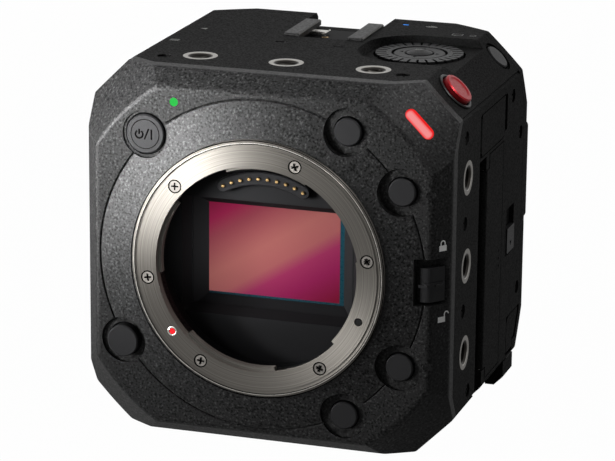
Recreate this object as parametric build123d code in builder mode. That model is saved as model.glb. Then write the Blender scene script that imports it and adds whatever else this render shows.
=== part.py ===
from build123d import *
from math import atan, cos, hypot, radians, sin, sqrt, tan
import os

os.makedirs("parts", exist_ok=True)

# Box cinema camera. Millimetres, X to the right as seen from the front, Y to the rear, Z up.
# The origin is the mouth of the middle tripod thread in the base, under the lens axis.
# Depths (names ending in _D) are measured behind the lens flange, heights (_Z) from the base.

# Body
BODY_W = 93.0
BODY_H = 93.0
BODY_DEPTH = 78.0
EDGE_CUT = 9.2            # leg of the 45 degree cut along the four long edges
WALL = 2.0                # top, side and base covers
FRAME_T = 3.0             # front frame, measured along the depth
REAR_T = 3.0              # rear cover, measured along the depth
SEAM = 0.15               # gap between neighbouring covers
SEAM_GROOVE = 0.9         # width of the shadow line along the upper and lower side seams
PLATE_D = 3.3             # flat of the front frame behind the lens flange
BEVEL_IN = 3.8            # front bevel, inwards
BEVEL_D = 5.1             # front bevel, along the depth
CORNER_CUT = 10.0         # how far the conical facets cut in from the corners of the front flat
CORNER_SLOPE = 0.94       # radius gained per millimetre of depth
REAR_CORNER_CUT = 11.2    # the same at the corners of the rear face
REAR_EDGE = 1.2
CREASE_R = 2.0            # rounding where the front flat meets its bevels and facets
EDGE_R = 1.0              # rounding of the long edges
FIT = 0.02                # clearance of a piece seated in its own hole
GAP = 0.3                 # clearance between pieces that move past each other
PRESS_GAP = 0.35          # ring gap round a push button
HALF_W = BODY_W / 2
REAR_D = PLATE_D + BODY_DEPTH

# Lens mount
LENS_DROP = 0.2           # lens axis below the middle of the body
LENS_Z = BODY_H / 2 - LENS_DROP
THROAT_R = 25.8
RING_R = 32.2
RING_T = 3.0
RING_RIM = 1.8            # width of the lowered outer rim
RING_RIM_DROP = 0.25
LIP_T = 1.4               # front lip of the throat, ahead of the claws
UNDERCUT = 0.3            # the ring is wider than the throat behind its lip
CLAW_R = 24.9
CLAWS = ((145.0, 187.5), (225.6, 280.0), (319.0, 369.0), (62.0, 109.0))
CONE_R = min(HALF_W, BODY_H / 2) - 5.0   # foot of the raised cone
CONE_TOP_D = 0.9
SCREW_PCD_R = 28.3
SCREW_ANGLES = (137.5, 70.2, 10.0, -54.8, -120.2, -170.9)
SCREW_R = 1.5
DOT_R = 0.75
DOT_AT = (27.9, -140.7)   # radius and angle on the ring
PIN_R = 0.95
PIN_AT = (27.9, -21.8)
PIN_FIT = 0.08
BORE_R = 26.4             # hole through the front frame behind the ring
FLANGE_DEPTH = 20.0       # lens flange to image plane

# Light box and sensor
BOX_R = 33.0
BOX_BORE_R = 26.6
BOX_T = 6.2
BOX_FLOOR_T = 2.8
PLATE_EDGE = 15.25        # lower edge of the contact plate above the lens axis
PLATE_SET = 0.5           # contact plate behind the box's front
WINDOW_W = 45.0
WINDOW_H = 32.6
WINDOW_BEVEL = 1.8
CONTACTS = 10
CONTACT_R = 21.6          # radius of the row of contact pins
CONTACT_STEP = 6.25       # degrees between contact pins
CONTACT_PIN_R = 0.45
CONTACT_BAND = 3.3        # radial width of the contact block
CONTACT_PROUD = 1.9       # contact block ahead of the contact plate
CONTACT_TIP = 0.5         # contact pins ahead of their block
CONTACT_TRAVEL = 0.45
SENSOR_WINDOW = (35.0, 23.4)
SENSOR_DIE = (35.6, 23.8)
GLASS_EDGE = 1.6          # glass held behind the lip on each side
GLASS_T = 1.2
BEZEL_W = 48.0
BEZEL_H = 38.0
BEZEL_LIP_T = 3.0
BEZEL_T = 6.8
SENSOR_BOARD = (52.0, 40.0, 1.6)
SINK_BASE_T = 2.0
FIN_T = 1.2
FINS = 9

# Threads and screws
THREAD_D = 22.2           # row of inserts behind the flange
THREAD_PITCH = 22.2
INSERT_R = 4.3
INSERT_BORE_R = 2.6
INSERT_L = 6.5
INSERT_MOUTH = 0.6
BOSS_WALL = 1.3
BOSS_RELIEF = 0.15        # room under an insert, so that it seats flush with the outer face
SCREW_END_R = 2.1          # hole through the boss below each insert
SIDE_ROW_Z = BODY_H / 2 - 0.6
COVER_SCREW_R = 1.7
COVER_SCREW_HEAD = 0.9
COVER_SCREW_SINK = 0.5

# Front controls, as X and Z of their centres
POWER_AT = (16.9 - HALF_W, LENS_Z + 30.7)
LAMP_AT = (24.2 - HALF_W, BODY_H - 7.5)
RELEASE_AT = (11.1 - HALF_W, LENS_Z - 22.2)
BUTTON_RING_R = CONE_R + 0.1   # function buttons, radius from the lens axis
BUTTON_ANGLES = (58.6, 31.8, -31.6, -58.7)
POWER_R = 4.9
FUNCTION_R = 3.4
RELEASE_R = 4.0
RECESS_R = 5.9
RECESS_T = 0.8
POWER_RECESS_T = 0.4
BUTTON_PROUD = 0.3
RELEASE_PROUD = 1.5
BUTTON_TRAVEL = 0.5
RELEASE_TRAVEL = 1.5
FLANGE_OVER = 0.9         # retaining flange beyond the button's hole
FLANGE_T = 1.0
STEM_R = 1.4
STEM_L = 2.2
LAMP_R = 1.05
TALLY_L = 8.8
TALLY_W = 3.1
TALLY_ANGLE = 44.8
TALLY_D = 7.1

# Lock switch on the right front edge
LOCK_X = HALF_W - 7.8
LOCK_Z = (LENS_Z - 5.7, LENS_Z + 5.9)
LOCK_SINK = 2.4
LOCK_KNOB_SINK = 0.5
LOCK_KNOB_Z = (LENS_Z - 4.9, LENS_Z + 3.6)
LOCK_TRAVEL = 1.9

# Right upper chamfer
RECORD_D = 24.8
RECORD_R = 4.1
COLLAR_R = 5.2
COLLAR_PROUD = 0.6
RECORD_PROUD = 1.9
SIDE_BUTTON_D = REAR_D - 14.9
SIDE_BUTTON_R = 3.4
LEFT_BUTTON_DS = (35.0, 53.0)
NETWORK_LAMP_AT = (15.3, REAR_D - 7.1)

# Accessory shoe
SHOE_W = 21.2
SHOE_GAP = 12.5
SHOE_SLOT_W = 18.7
SHOE_DS = (52.0, 70.0)
SHOE_TOP = 0.6            # rails above the top face
SHOE_LIP_T = 1.4
SHOE_EASE = 0.3           # bevel on the rails' upper edges
CHANNEL_T = 3.7
CHANNEL_D = 51.4
SHOE_FLOOR_T = 0.8
SHOE_BASE_T = 0.6

# Control dial, in the room between the shoe and the upper chamfer
WELL_X = SHOE_W / 2 + 1.2
DIAL_SHELF = 2.9          # floor of the well beside the dial's pocket
DIAL_POCKET_GAP = 0.6
DIAL_R = (HALF_W - EDGE_CUT - DIAL_POCKET_GAP - WELL_X - DIAL_SHELF) / 2
DIAL_X = WELL_X + DIAL_SHELF + DIAL_R
DIAL_D = 50.6
DIAL_TOP_Z = 91.5
DIAL_HUB_R = 7.08
DIAL_LIP_R = 8.3
KNURLS = 28
KNURL_GROOVE = 0.6
KNURL_T = 0.9
WELL_DS = (31.5, 63.3)
WELL_CORNER = 13.0
WELL_T = 2.0
WELL_SLOPE = 38.0
DIAL_POCKET_T = 3.4
TRAY_T = 1.4
BOSS_R = 7.0
BOSS_BORE_R = 6.2
BOSS_TOP_T = 1.4          # boss top below the well floor
ROCKER_RS = (4.3, 5.8)
PAD_R = 6.5
PAD_T = 1.2
MENU_R = 3.3
MENU_PROUD = 0.7
MENU_DOME_R = 9.0

# Right side
BLOCK_X = HALF_W - 5.9    # inner face of the thickened part of the right cover
REMOTE_DS = (33.2, 57.5)
REMOTE_ZS = (BODY_H - 23.1, BODY_H - 12.0)
DOOR_T = 1.6
NOTCH_D = REMOTE_DS[1] + 2.0
BLOCK_DS = (REMOTE_DS[0] - 2.2, NOTCH_D + 1.5)
CARD_DS = (39.5, 56.8)
CARD_ZS = (EDGE_CUT + 1.2, REMOTE_ZS[0] - 0.7)
GROOVE_D = REMOTE_DS[0] - 0.2
GROOVE_X = HALF_W - 4.1
CARD_MOUTH_DS = (CARD_DS[0] + 4.9, CARD_DS[1] - 1.2)
CARD_MOUTH_ZS = (CARD_ZS[0] + 2.8, CARD_ZS[1] - 2.8)
SLOT_WALL = 1.2           # walls above, between and below the card slots
SLOT_GAP = 2.6            # thickness of a card slot
CARD_AXIS_D = 41.0        # depth of the card door's hinge
HINGE_NOSE = 1.4          # fixed hinge block behind the pin's axis
DOOR_EDGE = 2.1           # edge of a door's plate behind the pin's axis, beside the fixed blocks
CARD_KNUCKLE = 2.9        # height of the fixed hinge blocks above and below the card door's barrel
HINGE_PIN_R = 0.5
PIN_RUN = 0.06            # running clearance of a door on its pin
BARREL_R = 1.2
HINGE_GAP = 0.5           # room for a door's outer face when it is open
CARD_LOCK_DS = (REAR_D - 20.0, REAR_D - 12.4)
CARD_LOCK_ZS = (BODY_H / 2 - 9.1, BODY_H / 2 + 3.3)
CARD_LOCK_TRAVEL = 4.2
JACK_DS = (REAR_D - 17.3, REAR_D - 3.3)
JACK_ZS = (EDGE_CUT + 0.3, EDGE_CUT + 11.1)
JACK_AXIS_Z = EDGE_CUT + 1.8
JACK_CHEEK_D = REAR_D - 10.7   # front of the fixed hinge block at the jack door's rear end
JACK_SWING = 1.7          # room behind the jack door for its way round the hinge
JACK_R = 3.0
SMALL_JACK_R = 2.5
REMOTE_JACKS = [(d, REMOTE_ZS[0] + 5.5) for d in (43.0, 51.5)]
CORNER_JACKS = [(JACK_DS[0] + d, JACK_AXIS_Z + 5.3) for d in (4.2, 9.9)]

# Rear
BNC_X = 13.0 - HALF_W
BNC_BAY_W = 19.0
BNC_BAY_ZS = (17.5, BODY_H - 14.5)
BNC_ZS = [sum(BNC_BAY_ZS) / 2 + z for z in (-20.0, 0.0, 20.0)]
BAY_W = 2 * (-BNC_X - BNC_BAY_W / 2 - 3.5)
BAY_ZS = (15.0, BODY_H - 14.0)
BAY_T = 6.0
PLATE_T = 1.6
RAIL_W = 3.0
BNC_BAY_T = 8.6
BNC_R = 4.8
TRAY_WALL = 1.4
TERMINAL_AXIS_X = HALF_W - 18.0
TERMINAL_ZS = (BODY_H - 51.1, BODY_H - 24.3)
TERMINAL_SINK = 1.3
TERMINAL_PROUD = 1.4
VIDEO_PORT_AT = (HALF_W - 10.9, TERMINAL_ZS[1] - 6.7)
DATA_PORT_AT = (HALF_W - 10.9, TERMINAL_ZS[0] + 8.1)
LAN_AT = (HALF_W - 11.5, TERMINAL_ZS[0] - 12.9)
DC_AT = (HALF_W - 14.5, 12.6)
LEVER_ZS = (4.8, 13.0)

# Inside
CHASSIS_D = 28.2
CHASSIS_T = 1.2
POST_R = 2.0
FRONT_POSTS = [(x, z) for z in (BODY_H - 6.0, 6.0) for x in (11.0, -11.0)]
REAR_POSTS = [(x, BODY_H - 10.0) for x in (30.0, -30.0)] + [(x, 7.6) for x in (20.0, -20.0)]
BOARD_D = REAR_D - 17.3
BOARD_T = 1.6
FAN_SIZE = 34.0
FAN_T = 8.0
FAN_AT = (48.0, LENS_Z - 0.3)   # depth and height of the fan's centre

# Values worked out from the ones above
CORNER_R = hypot(HALF_W - BEVEL_IN, BODY_H / 2 - BEVEL_IN) - CORNER_CUT
REAR_CORNER_R = hypot(HALF_W - REAR_EDGE, BODY_H / 2 - REAR_EDGE) - REAR_CORNER_CUT
FLANGE_Y = -THREAD_D
FRAME_BACK_D = PLATE_D + FRAME_T
COVER_END_D = REAR_D - REAR_T - SEAM
SIDE_TOP_Z = BODY_H - EDGE_CUT
WELL_FLOOR_Z = BODY_H - WELL_T
POCKET_FLOOR_Z = WELL_FLOOR_Z - DIAL_POCKET_T
BOX_BACK_D = FRAME_BACK_D + BOX_T
BEZEL_BACK_D = BOX_BACK_D + BEZEL_T
BAY_FLOOR_D = REAR_D - BAY_T
BNC_FLOOR_D = REAR_D - BNC_BAY_T
BUTTON_ATS = [
    (BUTTON_RING_R * cos(radians(a)), LENS_Z + BUTTON_RING_R * sin(radians(a)))
    for a in BUTTON_ANGLES
]
LENS_AXIS = Axis((0, FLANGE_Y, LENS_Z), (0, 1, 0))


# Sketch planes

def facing_front(depth, height=0.0):
    """Local x is X and local y is Z; extruding forwards is positive."""
    return Plane(origin=(0, FLANGE_Y + depth, height), x_dir=(1, 0, 0), z_dir=(0, -1, 0))


def facing_rear(depth):
    """Local x is -X and local y is Z; extruding rearwards is positive."""
    return Plane(origin=(0, FLANGE_Y + depth, 0), x_dir=(-1, 0, 0), z_dir=(0, 1, 0))


def facing_up(height):
    """Local x is X and local y is depth."""
    return Plane(origin=(0, FLANGE_Y, height), x_dir=(1, 0, 0), z_dir=(0, 0, 1))


def facing_down(height):
    """Local x is -X and local y is depth; extruding downwards is positive."""
    return Plane(origin=(0, FLANGE_Y, height), x_dir=(-1, 0, 0), z_dir=(0, 0, -1))


def facing_right(x):
    """Local x is depth and local y is Z."""
    return Plane(origin=(x, FLANGE_Y, 0), x_dir=(0, 1, 0), z_dir=(1, 0, 0))


def facing_left(x):
    """Local x is -depth and local y is Z."""
    return Plane(origin=(x, FLANGE_Y, 0), x_dir=(0, -1, 0), z_dir=(-1, 0, 0))


def on_chamfer(side):
    """Plane on the upper chamfer, side +1 right or -1 left; the depth runs along local x."""
    mid_x = HALF_W - EDGE_CUT / 2
    mid_z = BODY_H - EDGE_CUT / 2
    return Plane(
        origin=(side * mid_x, FLANGE_Y, mid_z),
        x_dir=(0, side, 0),
        z_dir=(side, 0, 1),
    )


def box_between(xs, ds, zs):
    """Plain block from its limits in X, depth and Z."""
    with BuildPart() as block:
        with BuildSketch(facing_up(zs[0])):
            with Locations(((xs[0] + xs[1]) / 2, (ds[0] + ds[1]) / 2)):
                Rectangle(xs[1] - xs[0], ds[1] - ds[0])
        extrude(amount=zs[1] - zs[0])
    return block.part


# Outer form of the body, also used inset or shifted for its neighbours

BEVEL_TURN = atan(BEVEL_D / BEVEL_IN)
CREASE_REACH = CREASE_R * tan(BEVEL_TURN / 2)
CREASE_POINTS = [
    (CREASE_REACH - CREASE_R * sin(BEVEL_TURN * i / 4), CREASE_R * (1 - cos(BEVEL_TURN * i / 4)))
    for i in range(5)
]


def bevelled_side(half, front, rear, inset):
    """Plan or side view of the body, as half width and depth, and the depth where its bevel ends."""
    bevel_slope = BEVEL_IN / BEVEL_D
    front_in = BEVEL_IN - inset * (1 + bevel_slope - sqrt(1 + bevel_slope ** 2))
    bevel_end = front + front_in / bevel_slope
    eased = [(half - front_in - a, front + b) for a, b in CREASE_POINTS]
    right_edge = eased + [(half, bevel_end), (half, rear - REAR_EDGE), (half - REAR_EDGE, rear)]
    return right_edge + [(-x, d) for x, d in reversed(right_edge)], bevel_end


def body_form(front_d, rear_d, inset=0.0):
    """Octagonal prism with bevelled front, conical corner facets and eased rear edges."""
    front = front_d + inset
    rear = rear_d - inset
    cut = EDGE_CUT - inset * (2 - sqrt(2))
    across, bevel_end = bevelled_side(HALF_W - inset, front, rear, inset)
    upright, bevel_end = bevelled_side(BODY_H / 2 - inset, front, rear, inset)
    cone_in = inset * sqrt(1 + CORNER_SLOPE ** 2) - inset * CORNER_SLOPE
    front_r = CORNER_R - cone_in
    rear_r = REAR_CORNER_R - cone_in
    far_r = hypot(HALF_W, BODY_H / 2)
    front_far = front + (far_r - front_r) / CORNER_SLOPE
    rear_far = rear - (far_r - rear_r) / CORNER_SLOPE
    with BuildPart() as form:
        with BuildSketch(facing_front(front)) as section:
            with Locations((0, BODY_H / 2)):
                outline = Rectangle(BODY_W - 2 * inset, BODY_H - 2 * inset)
            chamfer(outline.vertices(), cut)
            fillet(section.vertices(), EDGE_R)
        extrude(amount=front - rear)
        with BuildSketch(facing_up(BODY_H / 2)) as plan:
            Polygon(*across, align=None)
            fillet(plan.vertices().filter_by(lambda v: abs(v.Y - bevel_end) < 0.01), CREASE_R)
        extrude(amount=BODY_H, both=True, mode=Mode.INTERSECT)
        with BuildSketch(facing_right(0)) as elevation:
            Polygon(*[(d, BODY_H / 2 + z) for z, d in reversed(upright)], align=None)
            fillet(elevation.vertices().filter_by(lambda v: abs(v.X - bevel_end) < 0.01), CREASE_R)
        extrude(amount=BODY_W, both=True, mode=Mode.INTERSECT)
        with BuildSketch(facing_up(LENS_Z)) as turned:
            Polygon(
                (0, front), (front_r, front), (far_r, front_far),
                (far_r, rear_far), (rear_r, rear), (0, rear), align=None,
            )
            fillet(turned.vertices().filter_by(lambda v: abs(v.X - front_r) < 0.01), CREASE_R)
        revolve(axis=LENS_AXIS, mode=Mode.INTERSECT)
    return form.part


def octagon_prism(front_d, rear_d, inset):
    """Straight octagonal prism inside the body's section."""
    with BuildPart() as prism:
        with BuildSketch(facing_front(front_d)):
            with Locations((0, BODY_H / 2)):
                outline = Rectangle(BODY_W - 2 * inset, BODY_H - 2 * inset)
            chamfer(outline.vertices(), EDGE_CUT - inset * (2 - sqrt(2)))
        extrude(amount=front_d - rear_d)
    return prism.part


def seam_grooves(z):
    """Shadow lines along both sides at height z."""
    with BuildPart() as grooves:
        with BuildSketch(facing_front(PLATE_D)):
            with Locations((HALF_W, z), (-HALF_W, z)):
                Rectangle(SEAM_GROOVE, SEAM_GROOVE, rotation=45)
        extrude(amount=-BODY_DEPTH)
    return grooves.part


OUTER = body_form(PLATE_D, REAR_D)
SHELL_OUTER = body_form(FRAME_BACK_D + SEAM, COVER_END_D)
SHELL_CAVITY = octagon_prism(PLATE_D - 5, REAR_D + 5, WALL)
INSIDE = octagon_prism(PLATE_D, REAR_D, WALL / 2)


def cover_shell(xs, zs):
    """Part of the body's wall between the front frame and the rear cover."""
    with BuildPart() as shell:
        add(SHELL_OUTER)
        add(SHELL_CAVITY, mode=Mode.SUBTRACT)
        add(box_between(xs, (PLATE_D, REAR_D), zs), mode=Mode.INTERSECT)
        add(seam_grooves(SIDE_TOP_Z), mode=Mode.SUBTRACT)
        add(seam_grooves(EDGE_CUT), mode=Mode.SUBTRACT)
    return shell.part


# Repeated small pieces

def insert_seats(plane, spots):
    """Bosses behind the wall that hold thread inserts; the plane lies on the outer face."""
    with BuildPart() as bosses:
        with BuildSketch(plane.offset(-INSERT_L - BOSS_WALL / 2)):
            with Locations(*spots):
                Circle(INSERT_R + BOSS_WALL)
        extrude(amount=INSERT_L + BOSS_WALL / 2 - WALL / 2)
    return bosses.part


def insert_holes(plane, spots):
    """Seats for the inserts, each with a narrower hole on through its boss for the end of a long screw."""
    with BuildPart() as holes:
        with BuildSketch(plane.offset(-INSERT_L - BOSS_RELIEF)):
            with Locations(*spots):
                Circle(INSERT_R + FIT)
        extrude(amount=INSERT_L + BOSS_RELIEF + 1)
        with BuildSketch(plane.offset(-INSERT_L - BOSS_WALL)):
            with Locations(*spots):
                Circle(SCREW_END_R)
        extrude(amount=INSERT_L + BOSS_WALL)
    return holes.part


def inserts(plane, spots, mouth=INSERT_MOUTH):
    """Threaded bushes, flush with the outer face, with a countersunk mouth where it is above 0."""
    with BuildPart() as bushes:
        with BuildSketch(plane.offset(-INSERT_L)):
            with Locations(*spots):
                Circle(INSERT_R)
                Circle(INSERT_BORE_R, mode=Mode.SUBTRACT)
        extrude(amount=INSERT_L)
        if mouth:
            with BuildSketch(plane):
                with Locations(*spots):
                    Circle(INSERT_BORE_R + mouth)
            extrude(amount=-mouth, taper=45, mode=Mode.SUBTRACT)
    return bushes.part


def screw_wells(plane, spots):
    """Counterbores for the cover screws; the plane lies on the outer face."""
    with BuildPart() as wells:
        with BuildSketch(plane.offset(-COVER_SCREW_SINK - COVER_SCREW_HEAD)):
            with Locations(*spots):
                Circle(COVER_SCREW_R + 0.05)
        extrude(amount=COVER_SCREW_SINK + COVER_SCREW_HEAD + 1)
    return wells.part


def cover_screws(plane, spots):
    """Heads of the cover screws, sunk below the face, with a slot-shaped drive recess."""
    with BuildPart() as screws:
        with BuildSketch(plane.offset(-COVER_SCREW_SINK - COVER_SCREW_HEAD)):
            with Locations(*spots):
                Circle(COVER_SCREW_R)
        extrude(amount=COVER_SCREW_HEAD)
        with BuildSketch(plane.offset(-COVER_SCREW_SINK)):
            with Locations(*spots):
                Rectangle(COVER_SCREW_R * 1.2, COVER_SCREW_R * 0.35)
                Rectangle(COVER_SCREW_R * 0.35, COVER_SCREW_R * 1.2)
        extrude(amount=-COVER_SCREW_HEAD / 2, mode=Mode.SUBTRACT)
    return screws.part


def push_button(plane, at, radius, proud, panel_t, dish=0.0):
    """Round cap in a hole of the panel, with a retaining flange and a stem behind it."""
    with BuildPart() as button:
        with BuildSketch(plane.offset(proud)):
            with Locations(at):
                Circle(radius)
        extrude(amount=-(proud + panel_t + GAP + FLANGE_T))
        top = button.faces().sort_by(Axis(plane.origin, plane.z_dir))[-1]
        chamfer(top.edges(), min(0.3, radius / 8))
        with BuildSketch(plane.offset(-panel_t - GAP)):
            with Locations(at):
                Circle(radius + PRESS_GAP + FLANGE_OVER)
        extrude(amount=-FLANGE_T)
        with BuildSketch(plane.offset(-panel_t - GAP - FLANGE_T)):
            with Locations(at):
                Circle(STEM_R)
        extrude(amount=-STEM_L)
        if dish:
            with BuildSketch(plane.offset(proud)):
                with Locations(at):
                    Circle(radius * 0.78)
            extrude(amount=-dish, taper=60, mode=Mode.SUBTRACT)
    return button


# Front frame: flat plate with a bevelled rim and the raised cone that meets the mount ring

RING_SEAT_D = RING_T + 0.05
FRONT = facing_front(PLATE_D)
LOCK_KNOB_X = LOCK_X + 1.4
LOCK_STEM = (LOCK_KNOB_X + 0.5, LOCK_KNOB_X + 2.1)
LOCK_MID_Z = (LOCK_KNOB_Z[0] + LOCK_KNOB_Z[1]) / 2
LOCK_STEM_Z = (LOCK_MID_Z - 1.2, LOCK_MID_Z + 1.2)
LOCK_BACK_D = FRAME_BACK_D + 4.5


def form_layer(outer_inset, inner_inset):
    """Skin of the body form between two insets."""
    with BuildPart() as layer:
        add(body_form(PLATE_D, REAR_D, outer_inset))
        add(body_form(PLATE_D, REAR_D, inner_inset), mode=Mode.SUBTRACT)
    return layer.part


def facet_plane(angle, depth):
    """Plane on a front corner facet, local x along the facet's width."""
    radius = CORNER_R + CORNER_SLOPE * (depth - PLATE_D)
    a = radians(angle)
    return Plane(
        origin=(radius * cos(a), FLANGE_Y + depth, LENS_Z + radius * sin(a)),
        x_dir=(-sin(a), 0, cos(a)),
        z_dir=(cos(a), -CORNER_SLOPE, sin(a)),
    )


TALLY = facet_plane(TALLY_ANGLE, TALLY_D)

with BuildPart() as front_frame:
    add(OUTER)
    add(body_form(FRAME_BACK_D, REAR_D + 10), mode=Mode.SUBTRACT)
    with BuildSketch(facing_up(LENS_Z)):
        Polygon(
            (BORE_R, RING_SEAT_D), (RING_R + SEAM, RING_SEAT_D), (RING_R + SEAM, CONE_TOP_D),
            (CONE_R, PLATE_D), (CONE_R, FRAME_BACK_D), (BORE_R, FRAME_BACK_D), align=None,
        )
    revolve(axis=LENS_AXIS)
    with BuildSketch(facing_front(FRAME_BACK_D + 1, LENS_Z)):
        Circle(BORE_R)
    extrude(amount=FRAME_BACK_D + 2, mode=Mode.SUBTRACT)
    # shadow line round the foot of the cone
    with BuildSketch(facing_up(LENS_Z)):
        with Locations((CONE_R, PLATE_D)):
            Rectangle(0.5, 0.5, rotation=45)
    revolve(axis=LENS_AXIS, mode=Mode.SUBTRACT)
    # seats of the push buttons
    with BuildSketch(FRONT.offset(-RECESS_T)):
        with Locations(*BUTTON_ATS, RELEASE_AT):
            Circle(RECESS_R)
    extrude(amount=PLATE_D, mode=Mode.SUBTRACT)
    with BuildSketch(FRONT.offset(-POWER_RECESS_T)):
        with Locations(POWER_AT):
            Circle(RECESS_R)
    extrude(amount=PLATE_D, mode=Mode.SUBTRACT)
    with BuildSketch(FRONT.offset(-FRAME_T - 1)):
        with Locations(*BUTTON_ATS):
            Circle(FUNCTION_R + PRESS_GAP)
        with Locations(RELEASE_AT):
            Circle(RELEASE_R + PRESS_GAP)
        with Locations(POWER_AT):
            Circle(POWER_R + PRESS_GAP)
        with Locations(LAMP_AT):
            Circle(LAMP_R + FIT)
    extrude(amount=FRAME_T + 2, mode=Mode.SUBTRACT)
    # window of the tally lamp
    with BuildSketch(TALLY.offset(-FRAME_T)):
        SlotOverall(TALLY_L, TALLY_W)
    extrude(amount=FRAME_T + 1, mode=Mode.SUBTRACT)
    # backing and recess of the lock switch
    with BuildPart(mode=Mode.PRIVATE) as lock_backing:
        add(box_between((LOCK_X - 2, HALF_W), (PLATE_D + 1, LOCK_BACK_D),
                        (LOCK_Z[0] - 1.6, LOCK_Z[1] + 1.6)))
        add(octagon_prism(PLATE_D, REAR_D, WALL + SEAM), mode=Mode.INTERSECT)
        add(OUTER, mode=Mode.INTERSECT)
    add(lock_backing.part)
    with BuildPart(mode=Mode.PRIVATE) as lock_recess:
        add(form_layer(-1.0, LOCK_SINK))
        add(box_between((LOCK_X, HALF_W + 2), (0, PLATE_D + BEVEL_D - 0.5), LOCK_Z),
            mode=Mode.INTERSECT)
    add(lock_recess.part, mode=Mode.SUBTRACT)
    add(box_between((LOCK_STEM[0] - GAP, LOCK_STEM[1] + GAP), (PLATE_D, LOCK_BACK_D + 1),
                    (LOCK_STEM_Z[0] - GAP, LOCK_STEM_Z[1] + GAP + LOCK_TRAVEL)),
        mode=Mode.SUBTRACT)
    # holes for the ring's screws and the lock pin
    with BuildSketch(facing_front(FRAME_BACK_D + 1, LENS_Z)):
        for angle in SCREW_ANGLES:
            with Locations((SCREW_PCD_R * cos(radians(angle)), SCREW_PCD_R * sin(radians(angle)))):
                Circle(SCREW_R * 0.6 + FIT)
        with Locations((PIN_AT[0] * cos(radians(PIN_AT[1])), PIN_AT[0] * sin(radians(PIN_AT[1])))):
            Circle(PIN_R + PIN_FIT)
    extrude(amount=FRAME_T + 2, mode=Mode.SUBTRACT)
front_frame.part.label = "front_frame"
export_step(front_frame.part, "parts/front_frame.step")


# Covers

TOP = facing_up(BODY_H)
RIGHT = facing_right(HALF_W)
LEFT = facing_left(-HALF_W)
BASE = facing_down(0)
REAR = facing_rear(REAR_D)
TOP_INSERTS = [(x, THREAD_D) for x in (-THREAD_PITCH, 0, THREAD_PITCH)]
BASE_INSERTS = TOP_INSERTS
RIGHT_INSERTS = [(THREAD_D, SIDE_ROW_Z + z) for z in (-THREAD_PITCH, 0, THREAD_PITCH)]
LEFT_INSERTS = [(-THREAD_D, SIDE_ROW_Z + z) for z in (-THREAD_PITCH / 2, THREAD_PITCH / 2)]
SCREW_X = HALF_W - 16.0
SCREW_HIGH_Z = BODY_H - 14.6
TOP_SCREWS = [(-SCREW_X, 19.0), (SCREW_X, 19.0)]
RIGHT_SCREWS = [
    (20.2, SCREW_HIGH_Z), (20.3, SIDE_ROW_Z + 11.1), (20.1, SIDE_ROW_Z - 11.0), (26.5, EDGE_CUT + 3.4),
    (REAR_D - 15.9, SCREW_HIGH_Z + 0.4), (REAR_D - 7.3, BODY_H - 25.7), (REAR_D - 7.1, EDGE_CUT + 16.5),
]
LEFT_SCREWS = [(-d, z) for d in (20.2, REAR_D - 13.3) for z in (SCREW_HIGH_Z, EDGE_CUT + 4.8)]
BASE_SCREWS = [(x, d) for x in (-SCREW_X, SCREW_X) for d in (19.0, REAR_D - 11.3)]
DOOR_FACE_X = HALF_W - DOOR_T
CARD_LOCK_MID_D = sum(CARD_LOCK_DS) / 2
HINGE_X = HALF_W - BARREL_R
REMOTE_AXIS_D = REMOTE_DS[0] + HINGE_GAP + BARREL_R


TERMINAL_AXIS_D = REAR_D - TERMINAL_SINK + GAP + BARREL_R
REMOTE_PIN_ZS = (REMOTE_ZS[0] - 0.5, REMOTE_ZS[1] + 1.2)
CARD_PIN_ZS = (CARD_ZS[0] + 0.1, CARD_ZS[1] - 0.4)
TERMINAL_PIN_ZS = (TERMINAL_ZS[0] - 1.5, TERMINAL_ZS[1] + 1.5)
JACK_PIN_DS = (JACK_DS[0] - 1.1, JACK_CHEEK_D + 1.2)


def hinge_rods(extra):
    """Pins of the four doors, made larger by extra for the holes that hold them."""
    with BuildPart() as rods:
        for x, depth, zs in (
            (HINGE_X, REMOTE_AXIS_D, REMOTE_PIN_ZS),
            (HINGE_X, CARD_AXIS_D, CARD_PIN_ZS),
            (TERMINAL_AXIS_X, TERMINAL_AXIS_D, TERMINAL_PIN_ZS),
        ):
            with BuildSketch(facing_up(zs[0])):
                with Locations((x, depth)):
                    Circle(HINGE_PIN_R + extra)
            extrude(amount=zs[1] - zs[0])
        with BuildSketch(facing_front(JACK_PIN_DS[0])):
            with Locations((HINGE_X, JACK_AXIS_Z)):
                Circle(HINGE_PIN_R + extra)
        extrude(amount=JACK_PIN_DS[0] - JACK_PIN_DS[1])
    return rods.part


def round_block(plane, spots, radius, amount):
    """Cylinders on a plane."""
    with BuildPart() as block:
        with BuildSketch(plane):
            with Locations(*spots):
                Circle(radius)
        extrude(amount=amount)
    return block.part


SHOE_CHANNEL = box_between(
    (-SHOE_W / 2 - FIT, SHOE_W / 2 + FIT), (CHANNEL_D, REAR_D + 1), (BODY_H - CHANNEL_T, BODY_H + 1)
)

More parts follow.
